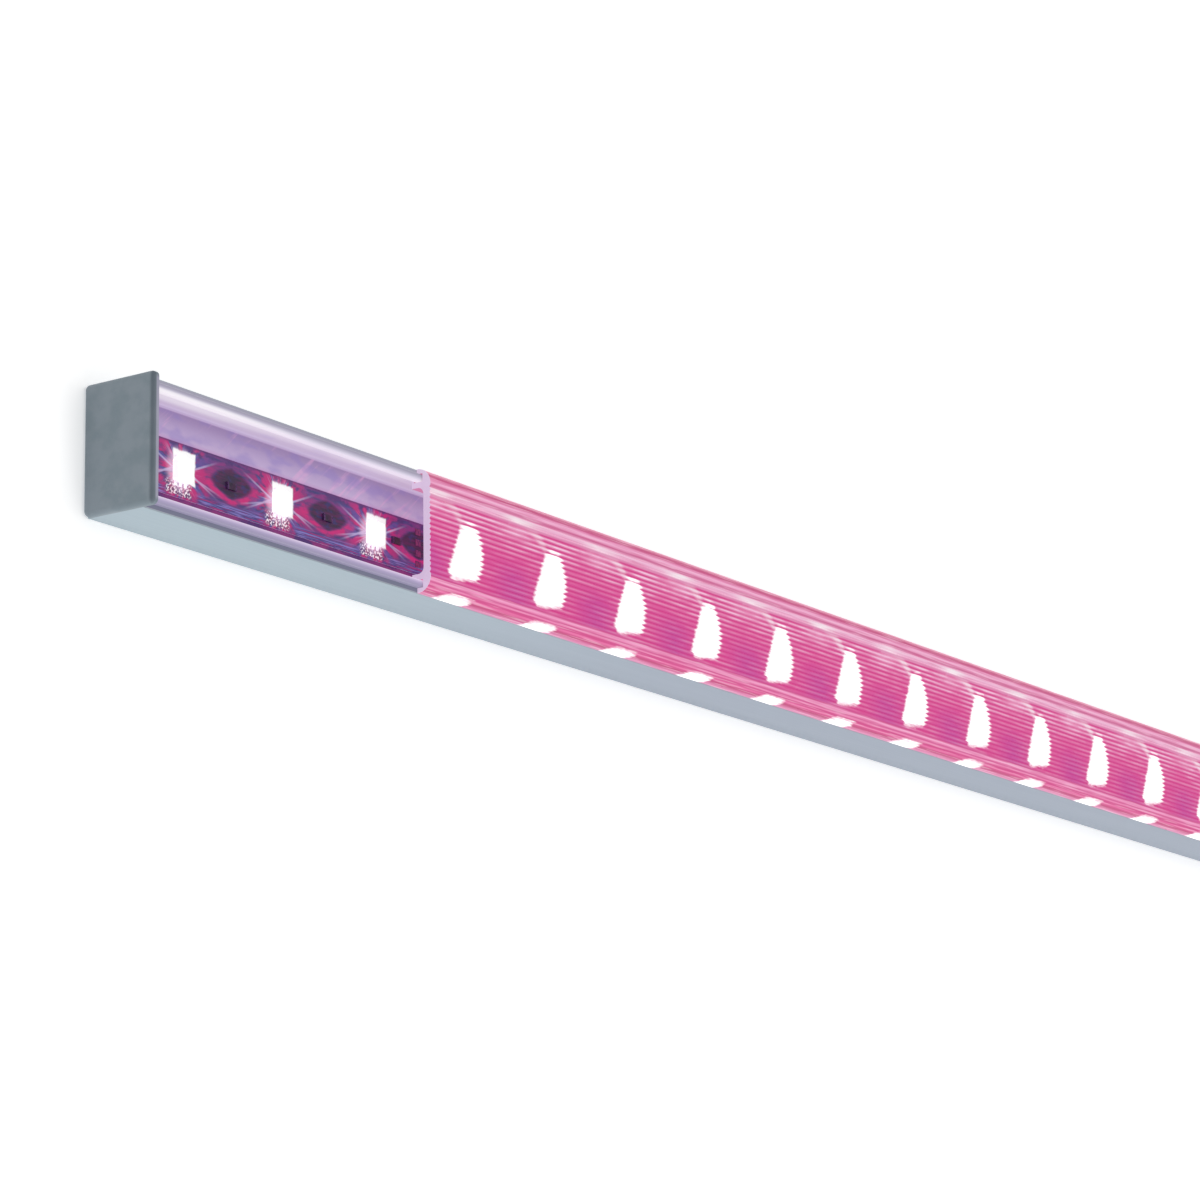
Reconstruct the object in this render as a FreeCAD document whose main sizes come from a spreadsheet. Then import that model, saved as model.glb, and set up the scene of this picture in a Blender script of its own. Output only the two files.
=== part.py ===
import FreeCAD, Part
import math
import os
import Sketcher

# Slim LED strip batten: an extruded aluminium channel with a flexible LED strip on its floor,
# a ribbed clear cover that slides along the channel's lips, and a push-fit cap at each end.
# Millimetres. X runs along the batten, Z is the way the light leaves, Y is across.
# The origin is at the centre of the flat back face.

V = FreeCAD.Vector

DIMENSIONS = {
    # whole batten
    "overall_length": 514.8,
    "section_width": 28.8,
    "section_depth": 19.3,
    # end caps
    "cap_thickness": 1.8,
    "cap_edge_radius": 1.1,
    "cap_corner_radius": 1.2,
    "spigot_length": 4.0,
    "spigot_width": 25.7,
    "spigot_gap": 14.0,
    "light_spigot_bottom": 5.8,
    "light_spigot_top": 13.6,
    "rear_spigot_bottom": 1.4,
    "rear_spigot_top": 4.4,
    # channel extrusion
    "ledge_height": 15.3,
    "lip_top": 16.8,
    "lip_bottom": 14.8,
    "lip_outer_width": 26.3,
    "mouth_width": 22.8,
    "chamber_width": 25.8,
    "floor_top": 5.7,
    "floor_underside": 4.5,
    "back_wall": 1.3,
    "rear_slot_width": 10.0,
    "lip_round": 0.6,
    "channel_corner_round": 0.4,
    "floor_corner_round": 0.7,
    # ribbed cover
    "cover_gap_length": 95.2,
    "cover_end_play": 0.3,
    "cover_top": 19.2,
    "cover_bottom": 15.4,
    "cover_ceiling": 17.2,
    "cover_corner_round": 3.7,
    "flange_inner_width": 26.5,
    "lip_groove_top": 17.0,
    "leg_outer_width": 22.6,
    "leg_inner_width": 20.0,
    "leg_bottom": 14.0,
    "hook_width": 23.8,
    "hook_top": 14.6,
    "leg_round": 1.5,
    "rib_pitch": 1.23,
    "rib_groove_width": 0.98,
    "rib_groove_depth": 0.36,
    "rib_groove_count": 17,
    # LED strip
    "strip_length": 500.0,
    "strip_width": 12.0,
    "tape_thickness": 0.2,
    "board_thickness": 0.4,
    "board_segments": 5,
    "leds_per_segment": 3,
    "led_size": 5.0,
    "led_depth": 1.6,
    "led_cup_radius": 2.15,
    "led_cup_depth": 0.9,
    "pin_length": 0.8,
    "pin_width": 0.7,
    "pin_thickness": 0.3,
    "pin_spacing": 1.6,
    "resistor_length": 3.2,
    "resistor_width": 1.6,
    "resistor_height": 0.55,
    "resistor_end": 0.5,
    "pad_length": 1.9,
    "pad_width": 1.5,
    "pad_thickness": 0.1,
    "pad_spacing": 2.54,
    # inlet socket and its leads
    "inlet_width": 12.2,
    "inlet_depth": 4.8,
    "inlet_length": 9.0,
    "inlet_height": 11.0,
    "inlet_flange": 0.7,
    "inlet_flange_thickness": 0.9,
    "contact_size": 0.9,
    "contact_recess": 3.0,
    "contact_tail": 1.6,
    "lead_radius": 0.55,
    "lead_run": 1.2,
    "lead_pad_inset": 1.5,
    # rear slot nuts
    "nut_length": 16.0,
    "nut_width": 22.0,
    "nut_bottom": 1.5,
    "nut_top": 4.2,
    "nut_neck_width": 9.8,
    "nut_neck_bottom": 0.2,
    "nut_thread_radius": 1.65,
    "nut_offset": 170.0,
}

# Formulas on the sheet that several sub-parts share
CHANNEL_LENGTH = "overall_length - 2 * cap_thickness"
COVER_LENGTH = "overall_length - cover_gap_length - cap_thickness - cover_end_play"
BOARD_TOP = "floor_top + tape_thickness + board_thickness"

doc = FreeCAD.newDocument("led_strip_batten")
nodes = []


def make_sheet():
    """Write every driving size to the spreadsheet under its own alias."""
    sheet = doc.addObject("Spreadsheet::Sheet", "Dimensions")
    for row, (alias, value) in enumerate(DIMENSIONS.items(), start=1):
        sheet.set("A%d" % row, alias.replace("_", " "))
        sheet.set("B%d" % row, repr(value))
        sheet.setAlias("B%d" % row, alias)
    doc.recompute()
    return sheet


sheet = make_sheet()


def size(alias):
    """The number in one named cell."""
    return float(sheet.get(alias))


def cells(text):
    """Turn a formula on aliases into one that names the sheet, for an expression."""
    words = []
    for word in text.replace("(", " ( ").replace(")", " ) ").split():
        words.append("Dimensions." + word if word in DIMENSIONS else word)
    return " ".join(words)


def bind(feature, **formulas):
    """Bind properties of a feature to formulas on the sheet."""
    for name, text in formulas.items():
        feature.setExpression(name, cells(text))


def bind_position(feature, along="0", across="0", up="0"):
    """Bind the place of a feature to formulas on the sheet."""
    for axis, text in (("x", along), ("y", across), ("z", up)):
        feature.setExpression("Placement.Base." + axis, cells(text))


def finish_node(feature, label):
    """Give a finished sub-part the name of its node."""
    feature.Label = label
    nodes.append(feature)
    return feature


def origin_feature(body, role):
    """The body's own origin plane or axis with this role."""
    for feature in body.Origin.OriginFeatures:
        if feature.Role == role:
            return feature
    raise RuntimeError("no origin feature " + role)


def profile_sketch(body, name, outlines):
    """A sketch across the batten whose closed outlines have every corner bound to the sheet."""
    sketch = body.newObject("Sketcher::SketchObject", name)
    sketch.AttachmentSupport = [(origin_feature(body, "YZ_Plane"), "")]
    sketch.MapMode = "FlatFace"
    for corners in outlines:
        first = sketch.GeometryCount
        count = len(corners)
        for index in range(count):
            turn = 2 * math.pi * index / count
            after = 2 * math.pi * (index + 1) / count
            start = V(10 * math.cos(turn), 10 * math.sin(turn), 0)
            end = V(10 * math.cos(after), 10 * math.sin(after), 0)
            sketch.addGeometry(Part.LineSegment(start, end), False)
        for index in range(count):
            line = first + index
            following = first + (index + 1) % count
            sketch.addConstraint(Sketcher.Constraint("Coincident", line, 2, following, 1))
        for index, (across, up) in enumerate(corners):
            line = first + index
            for kind, text in (("DistanceX", across), ("DistanceY", up)):
                rule = sketch.addConstraint(Sketcher.Constraint(kind, -1, 1, line, 1, 1.0))
                sketch.setExpression("Constraints[%d]" % rule, cells(text))
    doc.recompute()
    return sketch


def mirrored(half):
    """A right-hand run of corners followed by its mirror image, to close a symmetric outline."""
    return half + [("-1 * ( %s )" % across, up) for across, up in reversed(half)]


def rectangle(left, right, bottom, top):
    """The four corners of an upright rectangle, as formulas."""
    return [(left, bottom), (right, bottom), (right, top), (left, top)]


def pad(body, name, sketch, length, symmetric=False):
    """Extrude a profile along the batten."""
    feature = body.newObject("PartDesign::Pad", name)
    feature.Profile = sketch
    if symmetric:
        feature.SideType = "Symmetric"
    bind(feature, Length=length)
    doc.recompute()
    return feature


def pocket(body, name, sketch, length, symmetric=False, reverse=False):
    """Cut a profile along the batten, and make sure that it took something away."""
    before = body.Shape.Volume
    feature = body.newObject("PartDesign::Pocket", name)
    feature.Profile = sketch
    feature.Reversed = reverse
    if symmetric:
        feature.SideType = "Symmetric"
    bind(feature, Length=length)
    doc.recompute()
    if feature.Shape.Volume >= before - 1e-6:
        raise RuntimeError(name + " cuts nothing")
    return feature


def edges_where(shape, test):
    """Names of the edges whose two ends pass a test."""
    names = []
    for index, edge in enumerate(shape.Edges, start=1):
        ends = [vertex.Point for vertex in edge.Vertexes]
        if len(ends) == 2 and test(ends[0], ends[1]):
            names.append("Edge%d" % index)
    return names


def same(value, target):
    """Whether two lengths agree."""
    return abs(value - target) < 1e-4


def lengthwise(across, up):
    """A test for edges along the batten at this distance each side and this height."""
    def test(start, end):
        placed = all(same(abs(point.y), across) and same(point.z, up) for point in (start, end))
        return placed and not same(start.x, end.x)
    return test


def either(*tests):
    """A test for edges that pass any of several tests."""
    return lambda start, end: any(test(start, end) for test in tests)


def round_edges(body, name, base, test, radius):
    """Fillet the edges of the last feature that pass a test."""
    names = edges_where(base.Shape, test)
    if not names:
        raise RuntimeError(name + " finds no edge")
    feature = body.newObject("PartDesign::Fillet", name)
    feature.Base = (base, names)
    bind(feature, Radius=radius)
    doc.recompute()
    return feature


def box(name, length, width, height, along="0", across="0", up="0"):
    """A box centred on its place along and across, and standing on its height."""
    feature = doc.addObject("Part::Box", name)
    bind(feature, Length=length, Width=width, Height=height)
    bind_position(feature, "%s - ( %s ) / 2" % (along, length), "%s - ( %s ) / 2" % (across, width), up)
    doc.recompute()
    return feature


def cut(name, base, tool):
    """One feature with another taken away."""
    feature = doc.addObject("Part::Cut", name)
    feature.Base = base
    feature.Tool = tool
    doc.recompute()
    return feature


def fuse(name, parts):
    """Several features joined."""
    feature = doc.addObject("Part::MultiFuse", name)
    feature.Shapes = parts
    doc.recompute()
    return feature


def copies(label, pattern, places):
    """A node of separate solids: one pattern shape moved to each place."""
    feature = doc.addObject("Part::Feature", label.title().replace("_", ""))
    feature.Shape = Part.makeCompound([pattern.Shape.translated(place) for place in places])
    return finish_node(feature, label)


def make_channel():
    """Extruded channel: light chamber with inturned lips, and a slotted chamber behind its floor."""
    body = doc.addObject("PartDesign::Body", "Channel")
    upper = mirrored([
        ("rear_slot_width / 2", "0"),
        ("section_width / 2", "0"),
        ("section_width / 2", "ledge_height"),
        ("lip_outer_width / 2", "ledge_height"),
        ("lip_outer_width / 2", "lip_top"),
        ("mouth_width / 2", "lip_top"),
        ("mouth_width / 2", "lip_bottom"),
        ("chamber_width / 2", "lip_bottom"),
        ("chamber_width / 2", "floor_top"),
    ])
    rear = [
        ("-1 * rear_slot_width / 2", "back_wall"),
        ("-1 * chamber_width / 2", "back_wall"),
        ("-1 * chamber_width / 2", "floor_underside"),
        ("chamber_width / 2", "floor_underside"),
        ("chamber_width / 2", "back_wall"),
        ("rear_slot_width / 2", "back_wall"),
    ]
    sketch = profile_sketch(body, "ChannelProfile", [upper + rear])
    bar = pad(body, "ChannelBar", sketch, CHANNEL_LENGTH, symmetric=True)
    lip_edges = either(lengthwise(size("lip_outer_width") / 2, size("lip_top")),
                       lengthwise(size("mouth_width") / 2, size("lip_top")))
    lips = round_edges(body, "LipRounds", bar, lip_edges, "lip_round")
    heel = lengthwise(size("section_width") / 2, 0)
    heels = round_edges(body, "HeelRounds", lips, heel, "channel_corner_round")
    corner = lengthwise(size("chamber_width") / 2, size("floor_top"))
    round_edges(body, "FloorCorners", heels, corner, "floor_corner_round")
    return finish_node(body, "channel")


def make_cover():
    """Clear cover: domed shoulders, legs that hook under the channel's lips, and fine ribs on top."""
    body = doc.addObject("PartDesign::Body", "RibbedCover")
    outline = mirrored([
        ("leg_inner_width / 2", "cover_ceiling"),
        ("leg_inner_width / 2", "leg_bottom"),
        ("hook_width / 2", "leg_bottom"),
        ("hook_width / 2", "hook_top"),
        ("leg_outer_width / 2", "hook_top"),
        ("leg_outer_width / 2", "lip_groove_top"),
        ("flange_inner_width / 2", "lip_groove_top"),
        ("flange_inner_width / 2", "cover_bottom"),
        ("section_width / 2", "cover_bottom"),
        ("section_width / 2", "cover_top"),
    ])
    sketch = profile_sketch(body, "CoverProfile", [outline])
    shell = pad(body, "CoverShell", sketch, COVER_LENGTH, symmetric=True)
    shoulder = lengthwise(size("section_width") / 2, size("cover_top"))
    shoulders = round_edges(body, "CoverShoulders", shell, shoulder, "cover_corner_round")
    inside = lengthwise(size("leg_inner_width") / 2, size("cover_ceiling"))
    round_edges(body, "LegRounds", shoulders, inside, "leg_round")
    span = "( rib_groove_count - 1 ) * rib_pitch"
    groove = [
        ("%s / 2 - rib_groove_width / 2" % span, "cover_top + rib_groove_depth"),
        ("%s / 2 - rib_groove_width / 2" % span, "cover_top"),
        ("%s / 2" % span, "cover_top - rib_groove_depth"),
        ("%s / 2 + rib_groove_width / 2" % span, "cover_top"),
        ("%s / 2 + rib_groove_width / 2" % span, "cover_top + rib_groove_depth"),
    ]
    groove_sketch = profile_sketch(body, "RibGrooveProfile", [groove])
    first = pocket(body, "RibGroove", groove_sketch, COVER_LENGTH + " + 2", symmetric=True)
    pattern = body.newObject("PartDesign::LinearPattern", "RibGrooves")
    pattern.Originals = [first]
    pattern.Direction = (origin_feature(body, "Y_Axis"), [""])
    pattern.Reversed = True
    bind(pattern, Length=span, Occurrences="rib_groove_count")
    body.Tip = pattern
    bind_position(body, along="( cover_gap_length - cap_thickness - cover_end_play ) / 2")
    doc.recompute()
    if pattern.Shape.Volume >= first.Shape.Volume:
        raise RuntimeError("the rib pattern cuts nothing")
    return finish_node(body, "ribbed_cover")


def on_outer_face(start, end):
    """True for an edge of the cap's outer face, at x = 0."""
    return same(start.x, 0) and same(end.x, 0)


def make_end_cap(label, has_window):
    """Push-fit cap with its outer face at x = 0 and its spigots pointing to +X."""
    body = doc.addObject("PartDesign::Body", label.title().replace("_", ""))
    half = size("section_width") / 2
    plate_outline = rectangle("-1 * section_width / 2", "section_width / 2", "0", "section_depth")
    plate_sketch = profile_sketch(body, label + "_plate_profile", [plate_outline])
    plate = pad(body, label + "_plate", plate_sketch, "cap_thickness")
    corner_edges = either(lengthwise(half, 0), lengthwise(half, size("section_depth")))
    corners = round_edges(body, label + "_corners", plate, corner_edges, "cap_corner_radius")
    round_edges(body, label + "_outer_edge", corners, on_outer_face, "cap_edge_radius")
    spigots = [
        rectangle("spigot_gap / 2", "spigot_width / 2", "light_spigot_bottom", "light_spigot_top"),
        rectangle("-1 * spigot_width / 2", "-1 * spigot_gap / 2", "light_spigot_bottom", "light_spigot_top"),
        rectangle("-1 * spigot_width / 2", "spigot_width / 2", "rear_spigot_bottom", "rear_spigot_top"),
    ]
    spigot_sketch = profile_sketch(body, label + "_spigot_profile", spigots)
    spigot_start = V(0, 0, size("cap_edge_radius"))
    spigot_sketch.AttachmentOffset = FreeCAD.Placement(spigot_start, FreeCAD.Rotation())
    pad(body, label + "_spigots", spigot_sketch, "cap_thickness - cap_edge_radius + spigot_length")
    if has_window:
        window = rectangle("-1 * inlet_width / 2", "inlet_width / 2",
                           "inlet_height - inlet_depth / 2", "inlet_height + inlet_depth / 2")
        window_sketch = profile_sketch(body, label + "_window_profile", [window])
        pocket(body, label + "_window", window_sketch, "2 * cap_thickness", reverse=True)
    doc.recompute()
    return finish_node(body, label)


def make_end_caps():
    """The plain cap closes the left end, and the same cap turned about faces right with its window."""
    left = make_end_cap("end_cap_left", has_window=False)
    bind_position(left, along="-1 * overall_length / 2")
    right = make_end_cap("end_cap_right", has_window=True)
    right.Placement = FreeCAD.Placement(V(0, 0, 0), FreeCAD.Rotation(V(0, 0, 1), 180))
    bind_position(right, along="overall_length / 2")
    doc.recompute()


def make_strip():
    """The strip's adhesive tape and its flexible board, one on the other on the channel's floor."""
    finish_node(box("AdhesiveTape", "strip_length", "strip_width", "tape_thickness", up="floor_top"),
                "adhesive_tape")
    finish_node(box("StripBoard", "strip_length", "strip_width", "board_thickness",
                    up="floor_top + tape_thickness"), "strip_board")


def led_places(segment):
    """Where one segment's LEDs stand along the board."""
    pitch = size("strip_length") / (size("board_segments") * size("leds_per_segment"))
    first = segment * int(size("leds_per_segment"))
    indexes = range(first, first + int(size("leds_per_segment")))
    return [V((index + 0.5) * pitch - size("strip_length") / 2, 0, 0) for index in indexes]


def make_leds():
    """Square LED packages: a cupped body, the window that fills the cup, and three pins each side."""
    case = box("LedCase", "led_size", "led_size", "led_depth", up=BOARD_TOP)
    cup = doc.addObject("Part::Cone", "LedCup")
    bind(cup, Radius1="led_cup_radius - led_cup_depth / 3", Radius2="led_cup_radius", Height="led_cup_depth")
    bind_position(cup, up=BOARD_TOP + " + led_depth - led_cup_depth")
    body = cut("LedBody", case, cup)
    pins = []
    for side in (-1, 1):
        for place in (-1, 0, 1):
            pins.append(box("LedPin", "pin_width", "pin_length", "pin_thickness",
                            along="%d * pin_spacing" % place,
                            across="%d * ( led_size + pin_length ) / 2" % side, up=BOARD_TOP))
    pin_group = doc.addObject("Part::Compound", "LedPinGroup")
    pin_group.Links = pins
    doc.recompute()
    for segment in range(int(size("board_segments"))):
        places = led_places(segment)
        copies("led_bodies_%d" % (segment + 1), body, places)
        copies("led_windows_%d" % (segment + 1), cup, places)
        copies("led_pins_%d" % (segment + 1), pin_group, places)


def make_resistors():
    """A chip resistor half-way between neighbouring LEDs, and one just after each segment's last LED."""
    chip = box("ResistorChip", "resistor_length - 2 * resistor_end", "resistor_width",
               "resistor_height", up=BOARD_TOP)
    ends = doc.addObject("Part::Compound", "ResistorEnds")
    ends.Links = [box("ResistorEnd", "resistor_end", "resistor_width", "resistor_height",
                      along="%d * ( resistor_length - resistor_end ) / 2" % side, up=BOARD_TOP)
                  for side in (-1, 1)]
    doc.recompute()
    pitch = size("strip_length") / (size("board_segments") * size("leds_per_segment"))
    every_place = []
    for segment in range(int(size("board_segments"))):
        leds = led_places(segment)
        places = [led + V(pitch / 2, 0, 0) for led in leds[:-1]]
        places.append(leds[-1] + V(pitch / 4, 0, 0))
        copies("resistors_%d" % (segment + 1), chip, places)
        every_place += places
    copies("resistor_ends", ends, every_place)


def pad_rows():
    """The four rows across the board that its pads, the leads and the inlet's contacts share."""
    return ["%s * pad_spacing" % row for row in ("-1.5", "-0.5", "0.5", "1.5")]


def make_pads():
    """Four copper pads at every cut line, and at both ends of the board."""
    rows = doc.addObject("Part::Compound", "PadRow")
    rows.Links = [box("Pad", "pad_length", "pad_width", "pad_thickness", across=row, up=BOARD_TOP)
                  for row in pad_rows()]
    doc.recompute()
    segment_length = size("strip_length") / size("board_segments")
    end = size("strip_length") / 2 - size("pad_length") / 2
    inner = [index * segment_length - size("strip_length") / 2
             for index in range(1, int(size("board_segments")))]
    copies("copper_pads", rows, [V(along, 0, 0) for along in [-end] + inner + [end]])


def make_inlet():
    """Four-way socket that snaps into the right cap's window, and its square contacts."""
    inner_end = "overall_length / 2 - inlet_length"
    shell = box("InletShell", "inlet_length", "inlet_width", "inlet_depth",
                along="overall_length / 2 - inlet_length / 2", up="inlet_height - inlet_depth / 2")
    flange = box("InletFlange", "inlet_flange_thickness", "inlet_width + 2 * inlet_flange",
                 "inlet_depth + 2 * inlet_flange",
                 along="overall_length / 2 - cap_thickness - inlet_flange_thickness / 2",
                 up="inlet_height - inlet_depth / 2 - inlet_flange")
    holes = [box("ContactHole", "inlet_length", "contact_size", "contact_size",
                 along="overall_length / 2 - inlet_length / 2", across=row,
                 up="inlet_height - contact_size / 2") for row in pad_rows()]
    housing = cut("InletHousing", fuse("InletBody", [shell, flange]), fuse("ContactHoles", holes))
    finish_node(housing, "inlet_housing")
    contact_length = "inlet_length - contact_recess + contact_tail"
    contacts = doc.addObject("Part::Compound", "InletContacts")
    contacts.Links = [box("Contact", contact_length, "contact_size", "contact_size",
                          along="%s - contact_tail + ( %s ) / 2" % (inner_end, contact_length), across=row,
                          up="inlet_height - contact_size / 2") for row in pad_rows()]
    doc.recompute()
    finish_node(contacts, "inlet_contacts")


def make_leads():
    """Four short leads that turn back from the contacts to the board's end pads, and their solder."""
    radius = size("lead_radius")
    pad_top = (size("floor_top") + size("tape_thickness") + size("board_thickness")
               + size("pad_thickness"))
    contact_end = size("overall_length") / 2 - size("inlet_length") - size("contact_tail")
    turn = contact_end - size("lead_run")
    joint = size("strip_length") / 2 - size("lead_pad_inset")
    high = size("inlet_height")
    low = pad_top + radius
    bend = (high - low) / 2
    solder = []
    for name, row in zip(("supply", "red", "green", "blue"), (-1.5, -0.5, 0.5, 1.5)):
        across = row * size("pad_spacing")
        path = Part.Wire([
            Part.LineSegment(V(contact_end, across, high), V(turn, across, high)).toShape(),
            Part.Arc(V(turn, across, high), V(turn - bend, across, (high + low) / 2),
                     V(turn, across, low)).toShape(),
            Part.LineSegment(V(turn, across, low), V(joint, across, low)).toShape(),
        ])
        ring = Part.Wire(Part.makeCircle(radius, V(contact_end, across, high), V(-1, 0, 0)))
        lead = doc.addObject("Part::Feature", "Lead" + name.title())
        lead.Shape = path.makePipeShell([ring], True, True)
        finish_node(lead, "lead_" + name)
        bead = Part.makeSphere(1.3 * radius, V(joint, across, pad_top), V(0, 0, 1), 0, 90, 360)
        half_space = Part.makeBox(2 * radius, 4 * radius, 2 * radius, V(joint, across - 2 * radius, pad_top))
        solder.append(bead.common(half_space))
    joints = doc.addObject("Part::Feature", "SolderJoints")
    joints.Shape = Part.makeCompound(solder)
    finish_node(joints, "solder_joints")


def make_slot_nut(label, place):
    """T-shaped nut that slides in the rear slot, with its thread opening backwards."""
    body = doc.addObject("PartDesign::Body", label.title().replace("_", ""))
    outline = mirrored([
        ("nut_neck_width / 2", "nut_neck_bottom"),
        ("nut_neck_width / 2", "nut_bottom"),
        ("nut_width / 2", "nut_bottom"),
        ("nut_width / 2", "nut_top"),
    ])
    sketch = profile_sketch(body, label + "_profile", [outline])
    pad(body, label + "_bar", sketch, "nut_length", symmetric=True)
    thread = body.newObject("Sketcher::SketchObject", label + "_thread_circle")
    thread.AttachmentSupport = [(origin_feature(body, "XY_Plane"), "")]
    thread.MapMode = "FlatFace"
    thread.addGeometry(Part.Circle(V(0, 0, 0), V(0, 0, 1), 1.0), False)
    thread.addConstraint(Sketcher.Constraint("Coincident", 0, 3, -1, 1))
    rule = thread.addConstraint(Sketcher.Constraint("Radius", 0, 1.0))
    thread.setExpression("Constraints[%d]" % rule, cells("nut_thread_radius"))
    doc.recompute()
    pocket(body, label + "_thread", thread, "2 * nut_top", symmetric=True)
    bind_position(body, along=place)
    doc.recompute()
    return finish_node(body, label)


def check_document():
    """Stop if any feature failed or any sub-part has no valid shape."""
    for feature in doc.Objects:
        if "Invalid" in feature.State or "Error" in feature.State:
            raise RuntimeError("%s failed: %s" % (feature.Label, feature.State))
    for node in nodes:
        if node.Shape.isNull() or not node.Shape.isValid():
            raise RuntimeError(node.Label + " has no valid shape")


def write_steps():
    """Write each sub-part to its own STEP file, and print its size."""
    os.makedirs("parts", exist_ok=True)
    for node in nodes:
        node.Shape.exportStep("parts/%s.step" % node.Label)
        frame = node.Shape.BoundBox
        print("%-20s %2d solids  %8.1f mm3  x %.1f..%.1f  y %.1f..%.1f  z %.2f..%.2f" % (
            node.Label, len(node.Shape.Solids), node.Shape.Volume, frame.XMin, frame.XMax,
            frame.YMin, frame.YMax, frame.ZMin, frame.ZMax))


make_channel()
make_cover()
make_end_caps()
make_strip()
make_leds()
make_resistors()
make_pads()
make_inlet()
make_leads()
make_slot_nut("slot_nut_left", "-1 * nut_offset")
make_slot_nut("slot_nut_right", "nut_offset")
doc.recompute()
check_document()
write_steps()
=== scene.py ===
import math

import bmesh
import bpy
from mathutils import Matrix, Vector


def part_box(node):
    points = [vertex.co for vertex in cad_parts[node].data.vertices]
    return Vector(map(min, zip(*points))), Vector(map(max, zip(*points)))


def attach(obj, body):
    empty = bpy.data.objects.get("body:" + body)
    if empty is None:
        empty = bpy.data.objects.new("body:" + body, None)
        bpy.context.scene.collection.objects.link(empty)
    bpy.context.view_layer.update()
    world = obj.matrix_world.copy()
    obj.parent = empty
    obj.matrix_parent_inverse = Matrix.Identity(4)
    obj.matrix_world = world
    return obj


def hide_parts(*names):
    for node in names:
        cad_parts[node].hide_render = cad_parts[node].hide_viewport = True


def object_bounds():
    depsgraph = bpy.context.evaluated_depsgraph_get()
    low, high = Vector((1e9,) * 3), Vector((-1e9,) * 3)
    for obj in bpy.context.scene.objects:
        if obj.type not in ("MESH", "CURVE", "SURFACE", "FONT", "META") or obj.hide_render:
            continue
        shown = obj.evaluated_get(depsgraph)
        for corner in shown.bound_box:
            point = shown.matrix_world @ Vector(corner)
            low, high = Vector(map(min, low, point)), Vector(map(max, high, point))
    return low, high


bl_info = {
    "name": "LED strip batten",
    "version": (1, 0, 0),
    "blender": (4, 5, 0),
    "location": "3D View > Sidebar > Batten",
    "description": "Dresses the batten: ribbed cover, channel, caps, light packages and stage",
    "category": "Object",
}

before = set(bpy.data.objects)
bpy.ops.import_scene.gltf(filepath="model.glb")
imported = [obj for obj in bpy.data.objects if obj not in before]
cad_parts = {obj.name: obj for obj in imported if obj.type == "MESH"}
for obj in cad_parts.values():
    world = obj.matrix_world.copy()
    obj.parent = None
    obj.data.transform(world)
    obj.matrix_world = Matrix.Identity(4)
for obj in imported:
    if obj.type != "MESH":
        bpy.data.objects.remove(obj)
cad_low, cad_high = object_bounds()

MM = 0.001
TINY = 0.001 * MM
SEGMENTS = 5
PER_SEGMENT = 3
HALF_STRIP = SEGMENTS * PER_SEGMENT / 2
BLACK = (0.0, 0.0, 0.0)
WHITE = (1.0, 1.0, 1.0)
WHITE_HOT = (1.3, 1.3, 1.3)


def paint(red, green, blue):
    """A linear colour from the 0 to 255 numbers of a colour chart."""
    return tuple(
        part / 12.92 if part <= 0.04045 else ((part + 0.055) / 1.055) ** 2.4
        for part in (red / 255, green / 255, blue / 255)
    )


# ---------------------------------------------------------------- shader expressions


def sum_of(operation, reflected=False):
    """A method of Signal that adds one Math node."""
    def method(self, *others):
        values = (*others, self) if reflected else (self, *others)
        return self.recipe.math(operation, *values)
    return method


class Signal:
    """A socket inside a material. Arithmetic on it adds Math nodes."""

    def __init__(self, recipe, socket):
        self.recipe = recipe
        self.socket = socket

    __add__ = __radd__ = sum_of("ADD")
    __sub__ = sum_of("SUBTRACT")
    __rsub__ = sum_of("SUBTRACT", reflected=True)
    __mul__ = __rmul__ = sum_of("MULTIPLY")
    __truediv__ = sum_of("DIVIDE")
    __pow__ = sum_of("POWER")
    __abs__ = sum_of("ABSOLUTE")
    at_least = sum_of("MAXIMUM")
    at_most = sum_of("MINIMUM")
    rounded = sum_of("ROUND")
    part = sum_of("FRACT")
    sign = sum_of("SIGN")

    def rise(self, low, high):
        """0 below low, 1 above high, smooth between them."""
        sockets = {"Value": self, "From Min": low, "From Max": high}
        made = self.recipe.node("ShaderNodeMapRange", {"interpolation_type": "SMOOTHSTEP"}, sockets)
        return self.recipe.out(made, "Result")

    def fall(self, low, high):
        """1 below low, 0 above high, smooth between them."""
        return 1 - self.rise(low, high)

    def wave(self, centre, pitch):
        """1 at centre and at every pitch from it, 0 half-way between."""
        turn = (self - centre) * (2 * math.pi / pitch)
        return self.recipe.math("COSINE", turn) * 0.5 + 0.5


def find_socket(sockets, key):
    """A node's socket by its number, its identifier or its name."""
    if isinstance(key, int):
        return sockets[key]
    for socket in sockets:
        if socket.identifier == key:
            return socket
    return sockets[key]


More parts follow.
